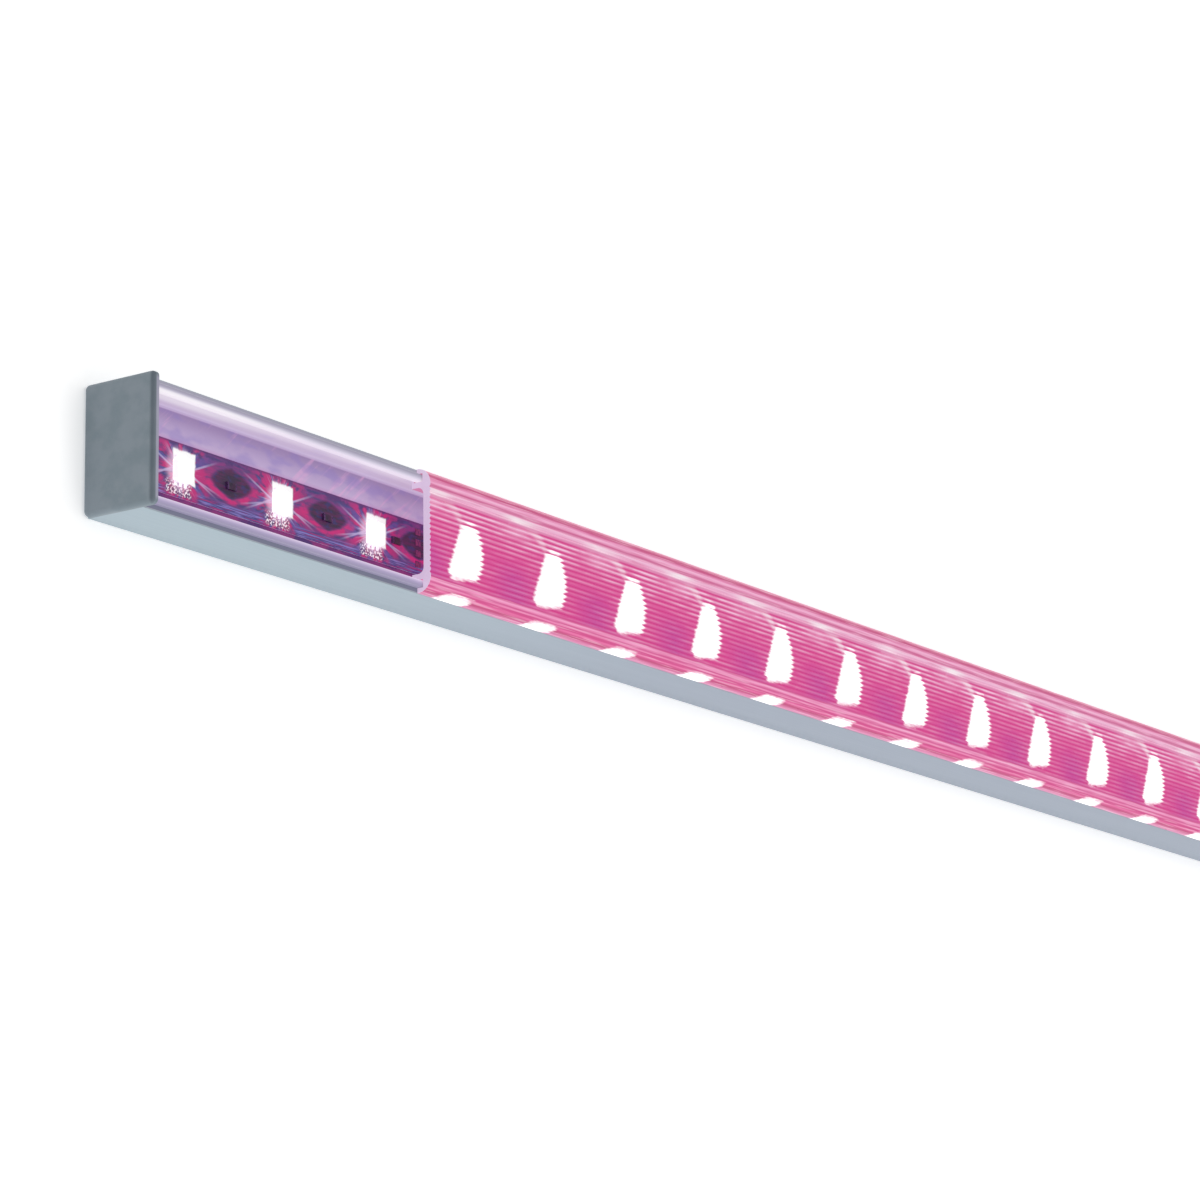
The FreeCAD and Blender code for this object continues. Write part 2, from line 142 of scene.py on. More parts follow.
class Recipe:
    """One material: its nodes, and the sums that drive them. Places are in millimetres."""

    def __init__(self, name):
        self.material = bpy.data.materials.new(name)
        self.material.use_nodes = True
        self.tree = self.material.node_tree
        self.tree.nodes.clear()
        self.shader = self.node("ShaderNodeBsdfPrincipled")
        end = self.node("ShaderNodeOutputMaterial")
        self.tree.links.new(self.shader.outputs["BSDF"], end.inputs["Surface"])
        where = self.out(self.node("ShaderNodeTexCoord"), "Object")
        parts = self.node("ShaderNodeSeparateXYZ", None, {0: where})
        self.place = [self.out(parts, axis) * 1000.0 for axis in "XYZ"]

    def node(self, kind, settings=None, sockets=None):
        """Adds a node, sets its settings, then sets or links its sockets."""
        made = self.tree.nodes.new(kind)
        for key, value in (settings or {}).items():
            if key == "stops":
                self.set_stops(made.color_ramp, value)
            else:
                setattr(made, key, value)
        self.feed(made, sockets or {})
        return made

    def feed(self, node, sockets):
        """Links a Signal, or sets a number or a colour, on each named socket."""
        for key, value in sockets.items():
            socket = find_socket(node.inputs, key)
            if isinstance(value, Signal):
                self.tree.links.new(value.socket, socket)
            elif socket.type == "RGBA":
                socket.default_value = (*value, 1.0)
            else:
                socket.default_value = value

    def set_stops(self, ramp, stops):
        """Fills a colour ramp; each stop is a place from 0 to 1, a colour and an alpha."""
        while len(ramp.elements) < len(stops):
            ramp.elements.new(1.0)
        for element, (place, colour, alpha) in zip(ramp.elements, stops):
            element.position = place
            element.color = (*colour, alpha)

    def out(self, node, key=0):
        return Signal(self, find_socket(node.outputs, key))

    def math(self, operation, *values):
        sockets = dict(enumerate(values))
        return self.out(self.node("ShaderNodeMath", {"operation": operation}, sockets))

    def mix(self, factor, under, over):
        """Lays one colour over another."""
        sockets = {"Factor_Float": factor, "A_Color": under, "B_Color": over}
        made = self.node("ShaderNodeMix", {"data_type": "RGBA"}, sockets)
        return self.out(made, "Result_Color")

    def layers(self, under, *coats):
        """Lays coats over a colour in order; each is a factor and a colour."""
        for factor, over in coats:
            under = self.mix(factor, under, over)
        return under

    def scaled(self, colour, amount):
        return self.mix(amount, BLACK, colour)

    def noise(self, x, y, z, detail=2.0):
        """Cloudy noise from 0 to 1 at a place whose unit is one cloud."""
        place = self.out(self.node("ShaderNodeCombineXYZ", None, {"X": x, "Y": y, "Z": z}))
        sockets = {"Vector": place, "Scale": 1.0, "Detail": detail}
        made = self.node("ShaderNodeTexNoise", {"noise_dimensions": "3D"}, sockets)
        return self.out(made, "Fac")

    def cloud(self, size, detail=2.0):
        """Noise whose clouds are as long, wide and high as size."""
        return self.noise(*(axis / size for axis in self.place), detail=detail)

    def bands(self, value, rows):
        """A colour and its cover, read where value lies in rows of place, colour and cover."""
        low, high = rows[0][0], rows[-1][0]
        stops = []
        for at, red, green, blue, *cover in rows:
            stops.append(((at - low) / (high - low), paint(red, green, blue), *(cover or [1.0])))
        place = (value - low) / (high - low)
        ramp = self.node("ShaderNodeValToRGB", {"stops": stops}, {"Fac": place})
        return self.out(ramp, "Color"), self.out(ramp, "Alpha")

    def bump(self, height, strength, depth):
        """Relief from a height of 0 to 1, depth in millimetres."""
        sockets = {"Height": height, "Strength": strength, "Distance": depth * MM}
        return self.out(self.node("ShaderNodeBump", None, sockets), "Normal")

    def surface(self, **sockets):
        """Feeds the shader; underscores in a socket's name stand for spaces."""
        self.feed(self.shader, {key.replace("_", " "): value for key, value in sockets.items()})
        return self.material

    def lit(self, colour, share, **sockets):
        """A surface that gives out a share of its own colour and is lit for the rest."""
        return self.surface(Base_Color=self.scaled(colour, 1 - share), Emission_Color=colour,
                            Emission_Strength=share, **sockets)


# ---------------------------------------------------------------- modelling tools


def deselect_all():
    bpy.ops.object.select_all(action="DESELECT")


def take(name):
    """Names the newest object and gives its mesh the same name."""
    made = bpy.context.object
    made.name = name
    made.data.name = name
    return made


def only(piece):
    """Makes one object the selected and active one."""
    deselect_all()
    piece.select_set(True)
    bpy.context.view_layer.objects.active = piece


def select_parts(piece, kind, test):
    """In edit mode, selects the verts, edges or faces whose middle and normal pass a test."""
    mesh = bmesh.from_edit_mesh(piece.data)
    modes = {"VERT": mesh.verts, "EDGE": mesh.edges, "FACE": mesh.faces}
    for parts in modes.values():
        for part in parts:
            part.select_set(False)
    bpy.context.tool_settings.mesh_select_mode = tuple(kind == mode for mode in modes)
    found = [part for part in modes[kind] if test(part)]
    for part in found:
        part.select_set(True)
    mesh.select_flush_mode()
    bmesh.update_edit_mesh(piece.data)
    if not found:
        raise RuntimeError("no %s of %s passed the test" % (kind.lower(), piece.name))


def round_edges(piece, size, steps, test):
    """In edit mode, bevels the edges that pass a test."""
    select_parts(piece, "EDGE", test)
    bpy.ops.mesh.bevel(offset=size, segments=steps, affect="EDGES")


def middle(part):
    """The middle of an edge or a face."""
    places = [vert.co for vert in part.verts]
    return sum(places, Vector()) / len(places)


def near(value, goal, slack=0.02 * MM):
    return abs(value - goal) < slack


def runs_along(edge, axis):
    """True for an edge that lies along one axis."""
    step = edge.verts[1].co - edge.verts[0].co
    return near(abs(step[axis]), step.length) and step.length > 0.01 * MM


def at_corners(corners):
    """A test for long edges at any of some places, each a half width and a height."""
    return lambda edge: runs_along(edge, 0) and any(
        near(abs(middle(edge).y), y) and near(middle(edge).z, z) for y, z in corners)


def leave_edit():
    bpy.ops.object.mode_set(mode="OBJECT")


def settle(piece, angle=35):
    """Puts the origin at the frame's own, faces outwards, and smooths its gentle edges."""
    leave_edit()
    only(piece)
    bpy.ops.object.transform_apply(location=True, rotation=True, scale=True)
    bpy.ops.object.mode_set(mode="EDIT")
    bpy.ops.mesh.select_all(action="SELECT")
    bpy.ops.mesh.remove_doubles(threshold=TINY)
    bpy.ops.mesh.normals_make_consistent(inside=False)
    leave_edit()
    bpy.ops.object.shade_smooth_by_angle(angle=math.radians(angle))
    piece.select_set(False)
    return piece


def add_block(name, low, high):
    """A cube resized to fill the box between two corners, left in edit mode."""
    deselect_all()
    low, high = Vector(low), Vector(high)
    bpy.ops.mesh.primitive_cube_add(size=1, location=(0, 0, 0))
    piece = take(name)
    bpy.ops.object.mode_set(mode="EDIT")
    bpy.ops.mesh.select_all(action="SELECT")
    bpy.ops.transform.resize(value=high - low)
    bpy.ops.transform.translate(value=(low + high) / 2)
    return piece


def draw_bar(name, outline, start, end):
    """Draws a section edge by edge in the YZ plane as a bar from start to end along X."""
    deselect_all()
    (first_y, first_z), (next_y, next_z) = outline[:2]
    bpy.ops.mesh.primitive_plane_add(size=1, location=(0, 0, 0))
    piece = take(name)
    bpy.ops.object.mode_set(mode="EDIT")
    select_parts(piece, "EDGE", lambda edge: middle(edge).y < -0.4)
    bpy.ops.transform.translate(value=(0, 0.5 + first_y, first_z))
    select_parts(piece, "EDGE", lambda edge: middle(edge).y > 0.4)
    bpy.ops.transform.translate(value=(0, next_y - 0.5, next_z))
    bpy.ops.mesh.select_all(action="SELECT")
    bpy.ops.transform.resize(value=(end - start, 1, 1), center_override=(0, 0, 0))
    bpy.ops.transform.translate(value=((start + end) / 2, 0, 0))
    select_parts(piece, "EDGE", lambda edge: runs_along(edge, 0)
                 and near(middle(edge).y, next_y, TINY)
                 and near(middle(edge).z, next_z, TINY))
    corners = list(outline[1:]) + [outline[0]]
    for (y, z), (to_y, to_z) in zip(corners, corners[1:]):
        bpy.ops.mesh.extrude_edges_move(TRANSFORM_OT_translate={"value": (0, to_y - y, to_z - z)})
    bpy.ops.mesh.select_all(action="SELECT")
    bpy.ops.mesh.remove_doubles(threshold=TINY)
    bpy.ops.mesh.fill_holes(sides=0)
    bpy.ops.mesh.select_all(action="SELECT")
    bpy.ops.mesh.normals_make_consistent(inside=False)
    return piece


def mirror_outline(half):
    """A closed outline from its right half, drawn from the middle outwards and back."""
    return half + [(-y, z) for y, z in reversed(half) if abs(y) > TINY]


def arc(centre_y, centre_z, radius, start, end, steps):
    """Points on a corner's round, from start to end degrees."""
    points = []
    for step in range(steps + 1):
        turn = math.radians(start + (end - start) * step / steps)
        points.append((centre_y + radius * math.cos(turn), centre_z + radius * math.sin(turn)))
    return points


def cut_away(piece, cutter):
    """Takes the cutter's shape out of a piece."""
    only(piece)
    cut = piece.modifiers.new("cut", "BOOLEAN")
    cut.operation = "DIFFERENCE"
    cut.solver = "EXACT"
    cut.object = cutter
    bpy.ops.object.modifier_apply(modifier=cut.name)
    bpy.data.objects.remove(cutter)


def join(name, pieces):
    """Joins finished parts into one piece."""
    only(pieces[0])
    for piece in pieces[1:]:
        piece.select_set(True)
    if len(pieces) > 1:
        bpy.ops.object.join()
    return take(name)


def copy_piece(piece, name, step):
    """A copy with its own mesh, moved along the batten."""
    only(piece)
    bpy.ops.object.duplicate(linked=False)
    bpy.ops.transform.translate(value=(step, 0, 0))
    bpy.ops.object.transform_apply(location=True, rotation=False, scale=False)
    return take(name)


def shift_copy(step):
    """In edit mode, copies what is selected along the batten and selects the copy."""
    bpy.ops.mesh.duplicate_move(TRANSFORM_OT_translate={"value": (step, 0, 0)})


def dress(piece, material, body, node):
    """Gives a finished piece its material and its body, and hides the CAD node it stands for."""
    piece.data.materials.clear()
    piece.data.materials.append(material)
    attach(piece, body)
    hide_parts(node)


def repeat_segments(first, name, pitch, material, nodes):
    """Copies the first segment's piece to the others and dresses each for its own CAD node."""
    pieces = [first] + [copy_piece(first, "%s_%d" % (name, number + 1),
                                   number * PER_SEGMENT * pitch)
                        for number in range(1, SEGMENTS)]
    for number, piece in enumerate(pieces):
        dress(piece, material, "housing", "%s_%d" % (nodes, number + 1))


def dress_node(node, material):
    """Gives a CAD node a better material."""
    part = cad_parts[node]
    if not part.material_slots:
        raise RuntimeError("node %s has no material slot" % node)
    for holder in part.material_slots:
        holder.material = material


# ---------------------------------------------------------------- settings


def amount(name, description, value, **more):
    return bpy.props.FloatProperty(name=name, description=description, default=value, **more)


def length(name, description, millimetres):
    return amount(name, description, millimetres * MM, unit="LENGTH", subtype="DISTANCE",
                  precision=5)


def colour(name, description, value):
    return bpy.props.FloatVectorProperty(name=name, description=description, default=value,
                                         subtype="COLOR", size=3, min=0.0, max=1.0)


def share(name, description, value):
    return amount(name, description, value, min=0.0, max=1.0, subtype="FACTOR")


class BattenCover(bpy.types.PropertyGroup):
    """Ribbed cover."""

    shoulder: length("Shoulder radius", "Round of the cover's two long shoulders", 3.7)
    wall_top: length("Ceiling", "Height of the cover's inner ceiling above the back", 17.2)
    rim_bottom: length("Rim bottom", "Height of the cover's outer rim above the back", 15.4)
    lip_seat: length("Lip seat", "Height of the groove that takes the channel's lip", 17.0)
    rim_inside: length("Rim inside", "Half width inside the outer rim", 13.25)
    leg_outside: length("Leg outside", "Half width over the legs", 11.3)
    leg_inside: length("Leg inside", "Half width between the legs", 10.0)
    hook_outside: length("Hook outside", "Half width over the hooks", 11.9)
    hook_top: length("Hook top", "Height of the hooks' upper faces", 14.6)
    rib_pitch: length("Rib pitch", "Spacing of the fine ribs", 1.23)
    rib_depth: length("Rib depth", "Height of the ribs above their grooves", 0.36)
    ribs: bpy.props.IntProperty(name="Grooves", description="Grooves between the ribs", default=17,
                                min=3)
    pink: colour("Pink", "Main glow of the cover", paint(226, 80, 154))
    purple: colour("Purple", "Deeper glow between the streaks", paint(194, 72, 162))
    # pale and deep: painted highlight lines on the ribs and painted shade in the grooves
    pale: colour("Pale pink", "Light lines on the ribs", paint(253, 204, 231))
    deep: colour("Deep pink", "Shade in the grooves", paint(198, 44, 120))
    cut: colour("Cut end", "The clear plastic's sawn end", paint(234, 210, 240))
    glow: share("Glow", "Share of its colour that the cover gives out itself", 0.6)
    first_streak: length("First streak", "Where the first light streak stands along the batten",
                         -148.6)
    streak_pitch: length("Streak pitch", "Spacing of the light streaks on the ribs", 32.6)


class BattenChannel(bpy.types.PropertyGroup):
    """Aluminium channel."""

    silver: colour("Silver", "Satin anodised aluminium", paint(171, 187, 196))
    edge: length("Edge round", "Round on the channel's long edges", 0.25)
    lip_round: length("Lip round", "Round on the lips", 0.6)
    lip_height: length("Lip top", "Height of the lips above the back", 16.8)
    lip_under: length("Lip underside", "Height of the lips' underside", 14.8)
    lip_outside: length("Lip outside", "Half width over the lips", 13.15)
    mouth: length("Mouth", "Half width between the lips", 11.4)
    chamber: length("Chamber", "Half width of both chambers", 12.9)
    ledge: length("Ledge", "Height of the ledges beside the lips", 15.3)
    floor: length("Floor", "Height of the floor that carries the strip", 5.7)
    floor_under: length("Floor underside", "Height of the rear chamber's ceiling", 4.5)
    back_wall: length("Back wall", "Thickness of the slotted back", 1.3)
    rear_slot: length("Rear slot", "Half width of the rear slot", 5.0)


class BattenCaps(bpy.types.PropertyGroup):
    """End caps."""

    grey: colour("Blue-grey", "Moulded cap", paint(134, 146, 156))
    edge: length("Edge round", "Round of the outer face's edges", 1.1)
    corner: length("Corner round", "Round of the four corners", 1.2)
    thickness: length("Thickness", "Thickness of the cap's plate", 1.8)
    spigot_length: length("Spigot length", "How far the spigots reach into the channel", 4.0)
    spigot_side: length("Spigot side", "Half width over the spigots", 12.85)
    spigot_gap: length("Spigot gap", "Half width between the side spigots", 7.0)
    side_bottom: length("Side spigot bottom", "Height of the side spigots' feet", 5.8)
    side_top: length("Side spigot top", "Height of the side spigots' tops", 13.6)
    rear_bottom: length("Rear spigot bottom", "Height of the rear spigot's foot", 1.4)
    rear_top: length("Rear spigot top", "Height of the rear spigot's top", 4.4)
    window_width: length("Window width", "Width of the inlet's opening", 12.2)
    window_height: length("Window height", "Height of the inlet's opening", 4.8)
    window_middle: length("Window middle", "Height of the opening's middle", 11.0)


class BattenLights(bpy.types.PropertyGroup):
    """Light packages, their leads and the chips between them."""

    pitch: length("Pitch", "Spacing of the light packages", 100 / 3)
    size: length("Package", "Side of a light package", 5.0)
    cup_top: length("Cup mouth", "Radius of the reflector cup at its mouth", 2.15)
    cup_floor: length("Cup floor", "Radius of the reflector cup at its floor", 1.7)
    lead_width: length("Lead width", "Width of a package's lead", 0.9)
    lead_spacing: length("Lead spacing", "Spacing of the three leads on a side", 1.6)
    white: colour("White", "Lit reflector case", (0.96, 0.96, 0.96))
    chip_length: length("Chip length", "Length of a chip resistor's body", 2.2)


class BattenBoard(bpy.types.PropertyGroup):
    """Board of the light strip."""

    navy: colour("Navy", "Solder mask in the shade", paint(58, 52, 112))
    purple: colour("Purple", "Solder mask in half light", paint(112, 46, 118))
    magenta: colour("Magenta", "Solder mask in the light", paint(202, 26, 114))
    dark: colour("Dark", "Chip resistor's shade", paint(46, 26, 60))
    lilac: colour("Lilac", "Rays of light on the mask", paint(196, 182, 224))


class BattenStage(bpy.types.PropertyGroup):
    """Floor, lights and camera."""

    floor_size: length("Floor", "Side of the floor", 9000)
    floor_colour: colour("Floor colour", "Plain pale floor", (0.92, 0.92, 0.92))
    lens: amount("Lens", "Focal length", 135.0, unit="CAMERA")
    sky: amount("Sky", "Strength of the even light", 0.35)
    top_light: amount("Top light", "Power in watts", 11.0)
    side_light: amount("Side light", "Power in watts", 7.0)


GROUPS = {
    "batten_cover": BattenCover,
    "batten_channel": BattenChannel,
    "batten_caps": BattenCaps,
    "batten_lights": BattenLights,
    "batten_board": BattenBoard,
    "batten_stage": BattenStage,
}


# ---------------------------------------------------------------- materials

# Rows of a place in millimetres and a colour from a colour chart. A fifth number says how far
# the colour covers what lies under it.

# painted light and shade across the cover, from one rim over the ribs to the other
COVER_BANDS = [
    (-16.5, 196, 104, 156), (-15.8, 216, 108, 164), (-15.2, 208, 84, 146), (-14.6, 188, 36, 108),
    (-14.1, 218, 86, 146), (-13.75, 244, 126, 180), (-13.3, 218, 82, 144), (-12.9, 220, 90, 150),
    (-12.6, 250, 152, 198), (-12.2, 214, 84, 146), (-11.8, 246, 148, 194),
    (-11.45, 253, 170, 212), (-11.0, 214, 72, 140), (-10.6, 216, 84, 152, 0.0),
    (7.4, 216, 84, 152, 0.0), (7.95, 226, 138, 182), (8.3, 244, 176, 210), (8.75, 238, 172, 206),
    (9.3, 250, 196, 226), (9.6, 246, 184, 216), (10.2, 208, 104, 152), (10.75, 244, 166, 204),
    (11.1, 253, 184, 220), (11.6, 238, 142, 188), (12.2, 206, 80, 134), (12.7, 202, 64, 124),
    (13.3, 206, 78, 132), (14.2, 212, 96, 146), (15.2, 212, 102, 150), (15.9, 208, 96, 146),
    (16.5, 202, 92, 142),
]
# painted light and shade on the floor, from the board's edge to the chamber's wall
FLOOR_BANDS = [
    (5.8, 122, 70, 126), (6.15, 164, 120, 170), (6.5, 190, 156, 200), (7.2, 188, 166, 204),
    (9.5, 174, 152, 194), (11.4, 160, 136, 180), (12.5, 154, 130, 174), (13.0, 176, 152, 192),
]
# painted light up the chamber's wall
WALL_BANDS = [
    (5.6, 184, 160, 200), (6.0, 206, 184, 220), (6.7, 226, 206, 238), (7.8, 218, 198, 226),
    (9.0, 220, 200, 228), (11.4, 244, 230, 246), (15.0, 248, 238, 252),
]
# painted light and shade across both lips
LIP_BANDS = [
    (-13.4, 150, 144, 172), (-13.0, 156, 148, 178), (-12.4, 172, 160, 196),
    (-11.9, 206, 190, 222), (-11.6, 232, 216, 240), (-11.3, 150, 116, 168),
    (11.3, 252, 243, 255), (11.55, 228, 220, 238), (12.0, 196, 190, 210), (12.6, 164, 158, 180),
    (13.1, 156, 153, 170), (13.4, 150, 148, 166),
]
# where the strip's light fades out along X under the cover, and grows in the bare chamber
STRIP_END = (224.0, 226.0)
WALL_BLOOM = (-238.0, -196.0)
LIP_BLOOM = (-236.0, -196.0)


def cover_material(sizes):
    """Clear ribbed plastic drawn opaque, with the strip's pink light and white streaks painted on.
    """
    recipe = Recipe("lit_ribbed_cover")
    x, y, z = recipe.place

    # across follows the surface: along the flat top, then down the round of the shoulder
    skin = 0.1
    radius = sizes.shoulder / MM
    flat = cad_high.y / MM - radius
    round_foot = cad_high.z / MM - skin - radius
    over = (abs(y) - flat).at_least(0.0)
    turn = recipe.math("ARCTAN2", over, (z - round_foot).at_least(0.001)) * radius
    across = (abs(y).at_most(flat) + turn) * y.sign()

    # along is counted from the nearest streak, and number is that streak's own
    pitch = sizes.streak_pitch / MM
    cell = (x - sizes.first_streak / MM) / pitch
    number = cell.rounded()
    along = (cell - number) * pitch

    rib = across / (sizes.rib_pitch / MM)
    ridge = 1 - abs((rib + 20.0).part() * 2 - 1)
    thread = recipe.noise(x / 9, rib * 0.9, 0.0, detail=3.0)
    fine = recipe.noise(x / 2.2, across / 0.5, 3.0)
    strand = recipe.noise(x / 15, across / 0.42, 6.0)
    drawn = recipe.noise(x / 40, across / 0.25, 1.0)
    broken = thread.rise(0.3, 0.72)

    # painted pink light, deeper and more purple low down between streaks; painted ridge highlights
    between = along.wave(-14.2, pitch) ** 2 * across.fall(-6.5, 0.5)
    near_streak = along.wave(0.0, pitch)
    bright = across.rise(-3.0, 7.5) * (0.4 + 0.8 * broken) + (0.22 + 0.34 * near_streak) * broken
    before = along.wave(-13.0, pitch) ** 2 * across.rise(2.5, 7.0)

    # a faint painted highlight arc that runs down to each streak from the shoulder
    arc_top, arc_lead, arc_bend = 9.2, 13, 0.04
    bow = arc_top - (along + arc_lead) ** 2 * arc_bend
    arc_highlight = abs(across - bow).fall(0.4, 2.0) * along.fall(-3.0, 0.0)
    arc_highlight = arc_highlight * (number * 0.07 + 0.6).at_most(1.0)

    # painted light and shade in bands along the two shoulders, and in strands on both flanges
    band, laid = recipe.bands(across, COVER_BANDS)
    on_flange = abs(across + 1.4).rise(9.2, 9.8)
    # a painted pale highlight patch by each streak
    patch = along.wave(-12.0, pitch) ** 3 * abs(across - 8.9).fall(0.3, 1.1)

    # a painted white streak of light for each package under the cover, bounded on four sides
    teeth = (ridge - 0.5) * (0.2 + thread * 1.5)
    left = along + 3.5 - across * 0.42
    right = 6.4 - (across + 2.6) ** 2 * 0.055 - along
    head = (number * 0.3 + 4.1).at_most(5.3) - across - ((along - 1.4) / 3.3) ** 2
    foot = across + 10.1 - (along + 4).at_least(0.0) * 0.16
    foot = foot - (along * -1 - 5.3).at_least(0.0) * 0.9
    depth = (left + teeth).at_most(right + teeth).at_most(head + teeth * 1.8).at_most(foot)
    streak = (depth + (fine - 0.5) * 1.6 + (thread - 0.5) * 1.2).rise(-0.5, 1.1)

    # a slanting painted white glare on the flange below each streak
    slant = along + 2.2 - (across + 15.0) * 0.9
    spot_reach = (slant / 4.9) ** 4 + ((across + 15.4) / 1.9) ** 2
    torn = (strand - 0.5) * 3.0 + (fine - 0.5) * 2.0
    flange_glare = (spot_reach + torn).fall(0.0, 2.2) * across.fall(-13.4, -12.9)

    over_strip = x.fall(*STRIP_END)
    cut_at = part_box("ribbed_cover")[0].x / MM
    glowing = recipe.layers(
        sizes.pink,
        (between * (0.3 + 0.6 * fine), sizes.purple),
        ((1 - ridge) ** 2 * 0.5 * (0.5 + thread), sizes.deep),
        (ridge ** 2 * bright, sizes.pale),
        (before * (0.2 + 0.3 * broken), sizes.pale),
        (arc_highlight * (0.25 + 0.75 * ridge), paint(255, 232, 243)),
        (laid, band),
        (on_flange * strand.fall(0.36, 0.5) * 0.32, paint(208, 66, 130)),
        (on_flange * strand.rise(0.52, 0.66) * 0.42, paint(255, 206, 228)),
        (patch * (0.35 + broken * 0.6), paint(255, 246, 250)),
        (streak * over_strip, WHITE_HOT),
        (flange_glare * over_strip, WHITE_HOT),
        (x.fall(cut_at + 0.02, cut_at + 0.08), sizes.cut))
    return recipe.lit(glowing, sizes.glow, Roughness=0.24 + fine * 0.12, IOR=1.49,
                      Normal=recipe.bump(drawn, 0.25, 0.02))


def channel_material(sizes):
    """Satin anodised aluminium, with the strip's light painted in its chamber as a glow."""
    recipe = Recipe("anodised_channel")
    x, y, z = recipe.place
    side = abs(y)
    drawn = recipe.noise(x / 60, y / 0.22, z / 0.22, detail=3.0)
    cloud = recipe.noise(x / 22, y / 6, z / 6)
    wash = recipe.noise(x / 7, y / 3, z / 3)
    rays = recipe.noise((x - y * 1.1) / 2.2, y / 14, 0.0, detail=3.0)

    # drawn grain and a cloudy tone, then painted shade that makes the silver darker and bluer
    # towards +X
    silver = recipe.layers(
        sizes.silver,
        (drawn * 0.18 + cloud * 0.12, paint(150, 166, 176)),
        (x.rise(-235.0, -25.0) * 0.9, paint(155, 164, 179)))
    edge_shade = recipe.mix(wash.rise(0.4, 0.6), paint(74, 40, 104), paint(130, 44, 112))
    floor = recipe.layers(
        recipe.bands(side, FLOOR_BANDS)[0],
        (rays.rise(0.54, 0.7) * 0.45, paint(226, 168, 212)),
        (wash.rise(0.45, 0.7) * 0.5, paint(140, 122, 188)),
        (y.fall(-5.8, -5.6) * y.rise(-10.5, -9.5), edge_shade))
    bloom = x.fall(*WALL_BLOOM) * z.rise(7.6, 10.4)
    wall = recipe.layers(
        recipe.bands(z, WALL_BANDS)[0],
        (wash.rise(0.5, 0.8) * 0.3, paint(200, 182, 230)),
        (bloom * 0.75, paint(255, 248, 255)))
    lip_bloom = x.fall(*LIP_BLOOM) * y.rise(11.2, 11.3) * y.fall(11.5, 12.3)
    lip = recipe.mix(lip_bloom * 0.8, recipe.bands(y, LIP_BANDS)[0], paint(255, 251, 255))
    # the ledges painted lilac, darker on the -Y side as painted shade
    ledge = recipe.mix(y.rise(-1.0, 1.0), paint(112, 114, 136), paint(160, 158, 176))

    # which faces the painted light and shade lie on
    inside = side.fall(12.88, 12.95) * z.rise(5.5, 5.6) * z.fall(14.9, 15.0)
    on_wall = side.rise(12.6, 12.85)
    on_lip = z.rise(14.72, 14.8) * side.fall(13.16, 13.22)
    on_ledge = z.rise(15.2, 15.28) * side.rise(13.14, 13.2) * side.fall(14.1, 14.3)
    seat = inside.at_least(on_lip).at_least(on_ledge)
    lit = recipe.layers(floor, (on_wall, wall), (on_lip, lip), (on_ledge, ledge))
    return recipe.surface(
        Base_Color=recipe.mix(seat, silver, recipe.scaled(lit, 0.3)),
        Emission_Color=recipe.scaled(lit, seat), Emission_Strength=0.72,
        Metallic=(1 - seat) * 0.75, Roughness=0.36 + drawn * 0.16,
        Normal=recipe.bump(drawn, 0.35, 0.02))


def cap_material(sizes):
    """Moulded blue-grey plastic with a fine grain, tinted where the strip's light grazes it."""
    recipe = Recipe("grey_cap")
    x, y, z = recipe.place
    cloud = recipe.cloud(5, detail=4.0)
    grain = recipe.cloud(0.35)
    from_end = cad_high.x / MM - abs(x)
    front = cad_high.z / MM - z
    # painted shade: a dark band on the rounded front edge; painted light: the lilac tint on the
    # front
    band = front.fall(0.5, 1.3) * abs(from_end - 0.45).fall(0.3, 0.7)
    tint = front.fall(0.05, 0.3) * from_end.rise(0.8, 1.15) * abs(y).fall(12.6, 13.8)
    base = recipe.layers(
        sizes.grey,
        (cloud.rise(0.35, 0.65) * 0.8, paint(118, 134, 143)),
        (grain * 0.25, paint(146, 158, 168)),
        (band * 0.55, paint(84, 94, 106)),
        (tint * 0.45, paint(196, 184, 212)))
    return recipe.surface(Base_Color=base, Emission_Color=recipe.scaled(base, tint * 0.08),
                          Emission_Strength=1.0, Roughness=0.46 + grain * 0.14,
                          Normal=recipe.bump(grain, 0.3, 0.03))


